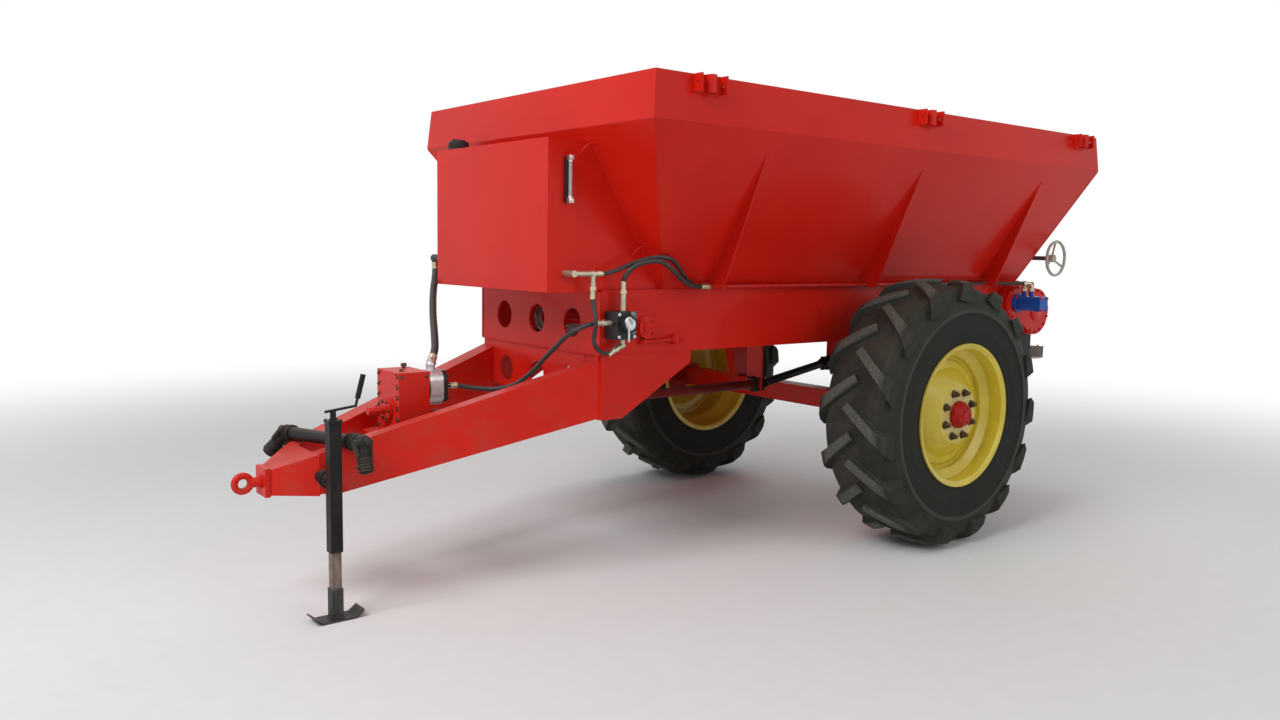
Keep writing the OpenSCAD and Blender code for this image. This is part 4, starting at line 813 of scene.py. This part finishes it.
def bent_bar(points, r, sides=10):
    """A round bar along a smooth curve through the points."""
    return tube(smooth_path(at_all(points), 6), r / 1000, sides)


def threads(start, end, r, pitch=3.0):
    """A screw thread as a turned row of ridges from start to end."""
    start, end = np.asarray(start, float), np.asarray(end, float)
    step = np.arange(2 * int(np.linalg.norm(end - start) / pitch) + 1)
    radii = np.where(step % 2 == 0, r - 0.9, r + 0.4)
    return turned(np.stack([radii, step * pitch / 2], 1), start, end - start, 12)


def block(low, high):
    """A box between two corners."""
    low, high = at_all([low, high])
    low, high = np.minimum(low, high), np.maximum(low, high)
    corner = np.array([[x, y, z] for z in (0, 1) for y in (0, 1) for x in (0, 1)], float)
    faces = [[0, 2, 3, 1], [4, 5, 7, 6], [0, 1, 5, 4], [2, 6, 7, 3], [0, 4, 6, 2], [1, 3, 7, 5]]
    return low + corner * (high - low), faces


def flip(axis):
    """The opposite direction."""
    return tuple(-part for part in axis)


# Places and sizes that several pieces share
HUB_Z = 704
SILL_Y = 530
TANK_Y = 508
PLATE_X = 1883
SHAFT_Z = 1172
FRONT_SHAFT_X = 1620
REAR_SHAFT_X = -1630

# The hopper's outside at its throat, on the sills, and at the fold below its rim band
THROAT_Z, FOLD_Z = 1350, 2065
THROAT_Y, FOLD_Y = SILL_Y, 994
THROAT_FRONT_X, FOLD_FRONT_X = 1513, 1966
THROAT_REAR_X, FOLD_REAR_X = -1462, -1583
RISE = FOLD_Z - THROAT_Z


def wall_y(z):
    """Half the hopper's width at a height, on the straight line from throat to fold."""
    slope = (FOLD_Y - THROAT_Y) / RISE
    return THROAT_Y + (z - THROAT_Z) * slope


def wall_x(z):
    """The hopper's front wall at a height, on the straight line from throat to fold."""
    slope = (FOLD_FRONT_X - THROAT_FRONT_X) / RISE
    return THROAT_FRONT_X + (z - THROAT_Z) * slope


# Welds of one side, each from end to end
RIB_XS = (1250, 100, -1050)
RIB_HALF = 6
RIB_ENDS = (1392, 1972)
ARM_X, ARM_Y = 1869, 512
ARM_TOP = (1016, 1050.5)
BAND_Y, BAND_Z = 982, 2190
BRACKET_XS = (1670, 150, -1370)
BRACKET_HALF = 74
NOSE_X, NOSE_Y = 3050, 172
seams = [[[edge, wall_y(z), z] for z in RIB_ENDS] for x in RIB_XS for edge in (x - RIB_HALF, x + RIB_HALF)]
seams += [
    # hopper on its sill, and the tank's side on the front wall
    [[THROAT_FRONT_X - 8, SILL_Y + 1, THROAT_Z + 1], [THROAT_REAR_X + 7, SILL_Y + 1, THROAT_Z + 1]],
    [[wall_x(1352) + 2, TANK_Y + 3, 1354], [wall_x(2005) + 2, TANK_Y + 3, 2007]],
    # drawbar arm and sill on the front plate
    [[ARM_X, ARM_Y, 770], [ARM_X, ARM_Y, 1020]],
    [[PLATE_X, 494, 1012], [PLATE_X, 494, 812]],
    [[PLATE_X - 2, SILL_Y - 2, 1056], [PLATE_X - 2, SILL_Y - 2, 1334]],
    # the hopper's front and rear corners
    [[1516, wall_y(1354) - 1, 1354], [1962, wall_y(2060) - 1, 2060]],
    [[-1463, wall_y(1354) - 1, 1354], [-1582, wall_y(2060) - 1, 2060]],
]
seams += [[[x - BRACKET_HALF, BAND_Y, BAND_Z], [x + BRACKET_HALF, BAND_Y, BAND_Z]] for x in BRACKET_XS]
beads = []
for side in SIDES:
    beads += [weld(start * np.array([1, side, 1]), end * np.array([1, side, 1])) for start, end in seams]
    # the gap between an arm's rear end and the front plate is filled
    beads.append(block([ARM_X - 0.5, side * 400, ARM_TOP[0]], [ARM_X + 8, side * ARM_Y, ARM_TOP[1]]))
beads.append(weld([wall_x(2009) + 3, -TANK_Y, 2010], [wall_x(2009) + 3, TANK_Y, 2010]))
beads.append(weld([PLATE_X + 2, -480, 1049], [PLATE_X + 2, 480, 1049]))
for y in (-NOSE_Y, NOSE_Y):
    beads.append(weld([NOSE_X, y, 498], [NOSE_X, y, 668]))
piece("weld_beads", beads, "red_paint", angle=80)

# Level gauge: a sight tube between two clamped ends, before the black strip
GAUGE = [2059, 541]
GAUGE_ENDS = (1741, 1926)
sight = [[*GAUGE, GAUGE_ENDS[0]], [*GAUGE, 1830], [*GAUGE, GAUGE_ENDS[1]]]
piece("gauge_tube", [tube(at_all(sight), 0.008, 20)], "black_plastic", "glass")
clamps = []
for z, way in zip(GAUGE_ENDS, (1, -1)):
    x, y = GAUGE
    clamps.append(block([x - 12, y - 11, z - 11], [x + 12, y + 11, z + 11]))
    clamps += bolt([x, y + 11, z], LEFT, 8)
    clamps.append(turned([[11, 0], [11, 8], [9.5, 10]], [x, y, z + 11 * way], (0, 0, way), 20))
piece("gauge_ends", clamps, "bright_steel", bevel=0.0008)

# Filler cap: grip ribs round it, a raised lid, a bar across the lid and a collar below
CAP = (2095, -395)
GRIP_RIBS = 28
cap = [
    turned([[3.6, 0], [3.6, 30], [2.4, 33]], foot, UP, 6)
    for foot in circle_of([*CAP, 2014], UP, 47, GRIP_RIBS)
]
cap.append(turned([[40, 0], [40, 4], [30, 7], [12, 8]], [*CAP, 2051], UP, 32))
cap.append(block([CAP[0] - 34, CAP[1] - 5, 2055], [CAP[0] + 34, CAP[1] + 5, 2064]))
cap.append(turned([[56, 0], [56, 6], [50, 8]], [*CAP, 2009], UP, 32))
piece("filler_cap", cap, "black_plastic", bevel=0.001)

# Round-bar handles on the tank and hopper, and the small hook on the nose
TANK_HANDLE = [
    [1992, 508, 1942], [1985, 530, 1968], [1960, 541, 1990], [1915, 541, 1993], [1880, 530, 1978],
    [1862, 508, 1956],
]
LOW_HANDLE = [
    [1694, 508, 1502], [1686, 532, 1528], [1662, 542, 1545], [1632, 540, 1545], [1614, 532, 1532],
    [1606, 530, 1510],
]
HOOK = [[3030, 168, 560], [3030, 190, 556], [3030, 204, 570], [3030, 203, 592], [3030, 190, 600]]
bars = [bent_bar(TANK_HANDLE, 4.5), bent_bar(LOW_HANDLE, 4.0), bent_bar(HOOK, 5.0)]
piece("bar_handles", bars, "red_paint")

# Control valve: screws, a dial, a curved lever with its grip, and the ribbed side casting
VALVE_X, VALVE_Z = 1800, 1200
LEVER = [
    [VALVE_X, 652, VALVE_Z], [1801, 664, 1212], [1808, 668, 1226], [1824, 668, 1232], [1838, 668, 1222],
    [1836, 668, 1204], [1822, 666, 1184], [1818, 664, 1160],
]
valve = bolts([[x, 625, z] for x in (1757, 1843) for z in (1142, 1243)], LEFT, 6)
valve.append(turned([[28, 0], [28, 4], [25, 7], [10, 8]], [VALVE_X, 650, VALVE_Z], LEFT, 32))
valve.append(bent_bar(LEVER, 5.0))
valve.append(turned([[5, 0], [5, 34], [3, 38]], LEVER[-1], flip(UP), 12))
piece("valve_levers", valve, "aluminium", bevel=0.0006)
COOLING_RIBS = 6
casting = []
for i in range(COOLING_RIBS):
    low = 1160 + 16 * i
    from_middle = abs(i - (COOLING_RIBS - 1) / 2)
    casting.append(block([1756, 624, low], [1786, 644 - 2 * from_middle, low + 9]))
casting.append(block([1760, 622, 1154], [1782, 636, 1256]))
piece("valve_casting", casting, "aluminium", "grey_casting", bevel=0.002)

# Conveyor shaft bearings with their bolts and grease nipples, and take-up screws with their nuts
NIPPLE = [[4, 0], [4, 4], [2.5, 5], [3.4, 8], [1.5, 10]]
SCREW_Y, SCREW_Z = 548, 1108
SCREW_R = 8.6
bearings = []
for side in SIDES:
    out = (0, side, 0)
    # the drive case covers the rear bearing on the left
    for x in (FRONT_SHAFT_X,) if side > 0 else (FRONT_SHAFT_X, REAR_SHAFT_X):
        bearings += bolts(circle_of([x, side * 556, SHAFT_Z], LEFT, 40, 4, 0.5), out, 6)
        bearings.append(turned(NIPPLE, [x, side * 564, SHAFT_Z], out, 10))
    y = side * SCREW_Y
    for start, end in ((1474, 1600), (1396, 1428)):
        bearings.append(threads([start, y, SCREW_Z], [end, y, SCREW_Z], SCREW_R))
    for x, way in ((1460, 1), (1440, -1), (1486, 1)):
        bearings.append(disc(14, 12, [x, y, SCREW_Z], (way, 0, 0), 6))
piece("bearing_bolts", bearings, "red_paint")

# Drive case: a flange between its two halves with bolts, and a round cover
CASE = (REAR_SHAFT_X, SHAFT_Z)
MOTOR = (-1392, 1234)
CASE_Y = 606
CASE_R, MOTOR_END_R = 156, 118
BOLT_INSET = 20
MOTOR_FLANGE_R = 68


def belt_outline(first, second, steps=24):
    """The outline round two circles [x, z, r]: an arc of each, joined by their common tangents."""
    arcs = []
    gap = np.subtract(second[:2], first[:2])
    lean = math.acos((first[2] - second[2]) / np.linalg.norm(gap))
    base = math.atan2(gap[1], gap[0])
    for (x, z, r), start, end in ((first, lean, 2 * math.pi - lean), (second, -lean, lean)):
        angle = np.linspace(base + start, base + end, steps)
        arcs.append(np.array([x, z]) + r * np.stack([np.cos(angle), np.sin(angle)], 1))
    return np.vstack(arcs)


def belt_slab(first, second, y0, y1):
    """The plate of that outline between two distances out."""
    outline = belt_outline(first, second)[::-1]
    return skin(at_all([np.insert(outline, 1, y, axis=1) for y in (y0, y1)]))


case = [belt_slab([*CASE, CASE_R], [*MOTOR, MOTOR_END_R], 570, 578)]
case.append(turned([[62, 0], [62, 5], [54, 9], [20, 11]], [CASE[0], CASE_Y, CASE[1]], LEFT, 40))
piece("case_flange", case, "red_paint", bevel=0.0015)
case_bolts = []
for x, z in belt_outline([*CASE, CASE_R - BOLT_INSET], [*MOTOR, MOTOR_END_R - BOLT_INSET], 9):
    # none stands under the motor
    if np.hypot(x - MOTOR[0], z - MOTOR[1]) > MOTOR_FLANGE_R:
        case_bolts += bolt([x, CASE_Y, z], LEFT, 8)
case_bolts += bolts(circle_of([CASE[0], CASE_Y + 5, CASE[1]], LEFT, 48, 6), LEFT, 5)
end_corners = [[MOTOR[0] + dx, 796, MOTOR[1] + dz] for dx in (-36, 36) for dz in (-36, 36)]
case_bolts += bolts(end_corners, LEFT, 7)
case_bolts += bolts(circle_of([MOTOR[0], 628, MOTOR[1]], LEFT, 53, 4, 0.5), LEFT, 6)
piece("case_bolts", case_bolts, "red_paint")

# Elbows from the motor's two ports, each turned towards the bend of its steel pipe
elbows = []
for y, reach in ((656, [242, -104, 0]), (706, [312, -130, 0])):
    run = unit(reach)
    top = np.array([MOTOR[0], y, 1362.0])
    drop = np.array([0, 0, 1])
    bend = [top + 46 * run, top + 26 * run, top + 8 * run - 6 * drop, top - 26 * drop, top - 34 * drop]
    elbows.append(bent_bar(bend, 12.5, 16))
    elbows.append(disc(17, 18, top - 50 * drop, UP, 6))
    elbows.append(disc(16, 20, top + 44 * run, run, 6))
piece("motor_elbows", elbows, "bright_steel", "zinc", bevel=0.0006)

# Gearbox: screws in pairs down its front edges, round the bearing ring, on its sides, top and pump
BOX_FRONT = 2665
BOX_SIDE = 112
BOX_TOP = 975
screws = []
for z in range(716, 965, 48):
    for y in (-98, 98):
        screws += bolt([BOX_FRONT, y, z], AHEAD, 6)
        screws += bolt([BOX_FRONT, y * 0.86, z + 10], AHEAD, 4)
screws += bolts(circle_of([BOX_FRONT + 18, 0, 800], AHEAD, 42, 6), AHEAD, 6)
for x in (2530, 2650):
    for z in (716, 955):
        screws += bolt([x, BOX_SIDE, z], LEFT, 6)
        screws += bolt([x, -BOX_SIDE, z], flip(LEFT), 6)
screws.append(turned([[9, 0], [9, 10], [14, 10], [14, 20], [9, 24]], [2560, -60, BOX_TOP], UP, 20))
screws += bolt([2620, 40, BOX_TOP], UP, 9)
screws += bolts([[2390, y, z] for y in (-36, 36) for z in (838, 938)], flip(AHEAD), 8)
piece("gearbox_screws", screws, "worn_steel", "worn_bolts")

# Driveshafts: the joints' crosses and flange bolts, then the hangers' bearing rings with their bolts
drive = []
for x, z, way in ((290, 755, 1), (-240, 845, -1)):
    for axis in (LEFT, flip(LEFT), UP, flip(UP)):
        drive.append(turned([[15, 28], [15, 40], [11, 42]], [x, 0, z], axis, 14))
    flange = circle_of([x + 48 * way, 0, z], AHEAD, 36, 4, 0.5)
    drive += bolts(flange, (way, 0, 0), 5)
for x, z in ((362, 755), (-340, 845)):
    drive.append(turned([[46, 0], [46, 8], [38, 14], [34, 16]], [x, 0, z], AHEAD, 28))
    drive += bolts([[x, y, z + dz] for dz in (-28.8, 36.8) for y in (-46, 46)], AHEAD, 7)
piece("drive_joints", drive, "black_paint")

# Loose shaft: at each joint a ribbed collar, a ribbed yoke with its lip, the cross, fork arms and a pin
NEAR = np.array([2972, 190, 724.0])
FAR = np.array([3038, -160, 704.2])
ALONG = unit(NEAR - FAR)
COLLAR_RIDGE = [[31, 22], [37, 24], [37, 27], [31, 29]]
YOKE_RIDGE = [[28, 62], [33, 63], [33, 69], [28, 70]]
loose = []
for joint, inward, ridges, hang in (
    (NEAR + 168 * ALONG, -ALONG, 8, [0, 40, -115]), (FAR - 48 * ALONG, ALONG, 3, [72, -50, -92]),
):
    out = unit(hang)
    loose.append(turned(repeated(COLLAR_RIDGE, 8, ridges), joint, inward, 24))
    loose.append(turned(repeated(YOKE_RIDGE, 12, 5), joint, out, 24))
    loose.append(turned([[17, 118], [19, 124], [19, 127], [12, 128]], joint, out, 18))
    u = unit(np.cross(inward, out))
    for axis in (u, -u):
        loose.append(turned([[17, 24], [17, 42], [12, 45]], joint, axis, 16))
        loose.append(tube(at_all([joint + 36 * axis + 6 * out, joint + 30 * axis + 58 * out]), 0.011, 8))
    v = unit(np.cross(u, out))
    for axis in (v, -v):
        loose.append(turned([[15, 24], [15, 40], [11, 43]], joint, axis, 16))
    loose.append(turned([[7, 30], [7, 44], [4, 47]], joint + 96 * out, u, 12))
piece("loose_shaft_joints", loose, "black_paint", "dusty_black", bevel=0.0008)

# Jack: mounting washer, cap screws and boss, and the pin in its side; the foot's welds ride on the foot
JACK_X, JACK_Y = 3040, 300
JACK_TOP = 830
jack = [turned([[38, 0], [38, 6], [34, 8]], [JACK_X, 232, 575], LEFT, 28)]
jack += bolts([[JACK_X + dx, JACK_Y + dy, JACK_TOP] for dx in (-22, 22) for dy in (-22, 22)], UP, 4)
jack.append(disc(15, 8, [JACK_X, JACK_Y, JACK_TOP], UP, 20))
jack.append(turned([[5, -2], [5, 30], [7, 30], [7, 34]], [JACK_X, 325, 560], LEFT, 12))
piece("jack_fittings", jack, "black_paint")
foot_welds = []
for side in SIDES:
    x, y = JACK_X + side * 25, JACK_Y + side * 25
    foot_welds.append(weld([JACK_X - 24, y, 10], [JACK_X + 24, y, 10], 4.0))
    foot_welds.append(weld([x, JACK_Y - 24, 10], [x, JACK_Y + 24, 10], 4.0))
piece("foot_welds", foot_welds, "worn_steel", body="jack_foot", angle=80)

# Wheels: washers and thread ends, the hub's ring, cap and cap bolts, and a valve stem in the rim
NUTS = 8
NUT_CIRCLE = 120
CAP_Y = 1196
STEM = [[8, 0], [7, 10], [4.5, 16], [4.5, 34], [3.6, 36]]
for side, word in SIDES.items():
    out = (0, side, 0)
    wheel = "wheel_" + word
    nuts = []
    for x, _, z in circle_of([0, 0, HUB_Z], LEFT, NUT_CIRCLE, NUTS, 0.5):
        nuts.append(turned([[22, 0], [22, 3.5], [20, 4]], [x, side * 1150, z], out, 24))
        nuts.append(threads([x, side * 1170.5, z], [x, side * 1184.8, z], 10.2, 2.4))
    piece("wheel_nuts_" + word, nuts, "worn_steel", "worn_bolts", wheel)
    cover = [
        turned([[6, 0], [6, 4.5], [5, 5.5]], foot, out, 6)
        for foot in circle_of([0, side * CAP_Y, HUB_Z], LEFT, 43, 6)
    ]
    cover.append(turned([[72.5, 0], [72.5, 5], [71, 6]], [0, side * 1152, HUB_Z], out, 40))
    cover.append(turned([[24, 0], [24, 3], [20, 5]], [0, side * CAP_Y, HUB_Z], out, 28))
    piece("hub_cap_bolts_" + word, cover, "red_paint", "hub_" + word, wheel)
    stem = turned(STEM, [250, side * 1090, 866], (-0.5, side * 0.7, -0.3), 14)
    piece("valve_stem_" + word, [stem], "black_plastic", body=wheel)

# Spreading discs: the nut on each shaft, and three bolts along each of four vanes
DISC_X, DISC_Y = -1822, 282
VANES = 4
VANE_LEAD = 20
VANE_OFFSET = 17
for side, word in SIDES.items():
    parts = [turned([[18, 0], [18, 16], [15, 19]], [DISC_X, side * DISC_Y, 890], UP, 6)]
    for i in range(VANES):
        angle = math.radians(i * 360 / VANES + VANE_LEAD)
        for r in (90, 150, 210):
            x = r * math.cos(angle) - VANE_OFFSET * math.sin(angle)
            y = r * math.sin(angle) + VANE_OFFSET * math.cos(angle)
            parts += bolt([DISC_X + x, side * (DISC_Y + y), 920], UP, 6)
    piece("vane_bolts_" + word, parts, "worn_steel", "worn_bolts", "spreader_" + word)

# Gate guides: bolts down both plates, set out in the plane of the rear wall
LEAN = math.atan((THROAT_REAR_X - FOLD_REAR_X) / RISE)
OUT = (-math.cos(LEAN), 0, -math.sin(LEAN))
GATE_FOOT_X, GATE_FOOT_Z = -1449.3, 1275


def on_rear_wall(out, y, up):
    """A point a distance out of the rear wall and up along it from the closed gate's lower edge."""
    x = GATE_FOOT_X - out * math.cos(LEAN) - up * math.sin(LEAN)
    return [x, y, GATE_FOOT_Z - out * math.sin(LEAN) + up * math.cos(LEAN)]


guides = []
for side in SIDES:
    guides += bolts([on_rear_wall(18, side * 466, up) for up in (110, 165, 330, 400, 470, 535)], OUT, 7)
    guides += bolts([on_rear_wall(88.5, side * 464, up) for up in (240, 284)], OUT, 6)
piece("guide_bolts", guides, "bright_steel")

# Conveyor: chain links over both chains and bolts through the slats
RUN = FRONT_SHAFT_X - REAR_SHAFT_X
WHEEL_R = 58
TURN = math.pi * WHEEL_R
LOOP = 2 * RUN + 2 * TURN
PITCH = 32
LINK_HALF, LINK_R, LINK_BAR = 14, 9, 4.2
SLATS = 22


def loop_place(s, lift):
    """A place s along the conveyor's loop, lifted off its pitch line: x, z, and the angle it has turned."""
    s = s % LOOP
    r = WHEEL_R + lift
    if s < RUN:
        return REAR_SHAFT_X + s, SHAFT_Z + r, 0.0
    if s < RUN + TURN:
        angle = (s - RUN) / WHEEL_R
        return FRONT_SHAFT_X + r * math.sin(angle), SHAFT_Z + r * math.cos(angle), angle
    if s < 2 * RUN + TURN:
        return FRONT_SHAFT_X - (s - RUN - TURN), SHAFT_Z - r, math.pi
    angle = math.pi + (s - 2 * RUN - TURN) / WHEEL_R
    return REAR_SHAFT_X + r * math.sin(angle), SHAFT_Z + r * math.cos(angle), angle


def link_ring(standing):
    """One chain link at rest, lying flat or standing on edge: a square bar round a long closed ring.

    p(s, a) = ring(s) + LINK_BAR (cos a side + sin a other(s)).
    """
    angle = np.linspace(math.pi / 2, 3 * math.pi / 2, 4)
    left = np.stack([LINK_R * np.cos(angle) - LINK_HALF, LINK_R * np.sin(angle)], 1)
    angle = np.linspace(-math.pi / 2, math.pi / 2, 4)
    right = np.stack([LINK_R * np.cos(angle) + LINK_HALF, LINK_R * np.sin(angle)], 1)
    ring = np.insert(np.vstack([left, right]), 1 if standing else 2, 0, axis=1)
    ahead = np.roll(ring, -1, 0) - np.roll(ring, 1, 0)
    ahead /= np.linalg.norm(ahead, axis=1)[:, None]
    side = np.array(LEFT if standing else UP, float)
    other = np.cross(ahead, side)
    angle = np.arange(4) * math.pi / 2
    around = np.cos(angle)[None, :, None] * side + np.sin(angle)[None, :, None] * other[:, None]
    verts = ring[:, None] + LINK_BAR * around
    return verts.reshape(-1, 3), ring_faces(len(ring), 4, endless=True)


def placed(shape, s, y, lift):
    """A shape at rest on the origin, set at a place along the conveyor's loop."""
    verts, faces = shape
    x, z, angle = loop_place(s, lift)
    c, d = math.cos(angle), math.sin(angle)
    spun = np.stack([verts[:, 0] * c + verts[:, 2] * d, verts[:, 1], verts[:, 2] * c - verts[:, 0] * d], 1)
    return at_all(spun + np.array([x, y, z])), faces


links = []
count = int(LOOP / PITCH)
kinds = ((link_ring(False), 13.0), (link_ring(True), 9.0))
for i in range(count):
    shape, lift = kinds[i % 2]
    links += [placed(shape, (i + 0.5) * LOOP / count, y, lift) for y in (-300, 300)]
piece("chain_links", links, "bare_steel", angle=80)
slat_bolts = []
for i in range(SLATS):
    x, z, angle = loop_place(i * LOOP / SLATS, 25.0)
    for y in (-318, -282, 282, 318):
        slat_bolts.append(disc(8, 6, [x, y, z], (math.sin(angle), 0, math.cos(angle)), 8))
piece("slat_bolts", slat_bolts, "bare_steel")


# Floor, backdrop and light

WHITE = (1.0, 1.0, 1.0, 1.0)
PALE_SKY = (0.93, 0.96, 1.0, 1.0)
SKY_LEVEL = 0.30
FLOOR_R = 40
FLOOR_SIDES = 64
FLOOR_FADE = (3.4, 9.0)


def set_world():
    """White to the camera, in reflections and through glass; an even pale sky for light."""
    world = bpy.data.worlds.new("studio")
    bpy.context.scene.world = world
    shading = Shading(world)
    sky = shading.node("ShaderNodeBackground", {}, [PALE_SKY, SKY_LEVEL])
    white = shading.node("ShaderNodeBackground", {}, [WHITE, 1.0])
    mix = shading.node("ShaderNodeMixShader", {}, [shading.seen(), sky.outputs[0], white.outputs[0]])
    shading.node("ShaderNodeOutputWorld", {}, [mix.outputs[0]])


def floor_finish():
    """Pale concrete that turns white far from the object, for the rays that show the backdrop."""
    paint = Paint("pale_floor")
    x, y, _ = paint.axes()
    away = ((x * x + y * y) ** 0.5).ease(*FLOOR_FADE)
    grain = paint.noise(9.0, 5.0, 0.6)
    base = paint.blend(grain, (0.84, 0.84, 0.83), (0.90, 0.90, 0.89))
    paint.finish(base, 0.75 + grain * 0.15, 0.0, height=grain, depth=0.0008)
    glow = paint.node("ShaderNodeEmission", {}, {"Color": WHITE, "Strength": 1.0})
    shown = [away * paint.seen(), paint.shader.outputs[0], glow.outputs[0]]
    mix = paint.node("ShaderNodeMixShader", {}, shown)
    paint.feed(paint.output.inputs[0], mix.outputs[0])
    return paint.material


def set_floor():
    """A flat round floor: p(a) = FLOOR_R (cos a, sin a, 0)."""
    angle = np.arange(FLOOR_SIDES) * 2 * math.pi / FLOOR_SIDES
    verts = np.stack([FLOOR_R * np.cos(angle), FLOOR_R * np.sin(angle), np.zeros(FLOOR_SIDES)], 1)
    mesh = bpy.data.meshes.new("floor")
    mesh.from_pydata(verts.tolist(), [], [list(range(FLOOR_SIDES))])
    mesh.materials.append(floor_finish())
    floor = new_object("floor", mesh)


def lamp(name, place, aim, size, power):
    """A square area lamp that faces a point."""
    data = bpy.data.lights.new(name, "AREA")
    data.shape = "SQUARE"
    data.size = size
    data.energy = power
    back = unit(np.subtract(place, aim))
    right = unit(np.cross(UP, back))
    stand(name, data, right, np.cross(back, right), back, place)


set_world()
set_floor()
lamp("key_lamp", (7.0, 1.5, 6.5), (0.4, 0, 1.0), 4.0, 400)
lamp("side_lamp", (-1.0, 8.5, 4.5), (-0.4, 0, 0.9), 5.0, 150)
lamp("back_lamp", (-7.0, -4.0, 6.0), (-0.4, 0, 1.0), 5.0, 190)

bpy.context.scene.view_settings.view_transform = "Standard"
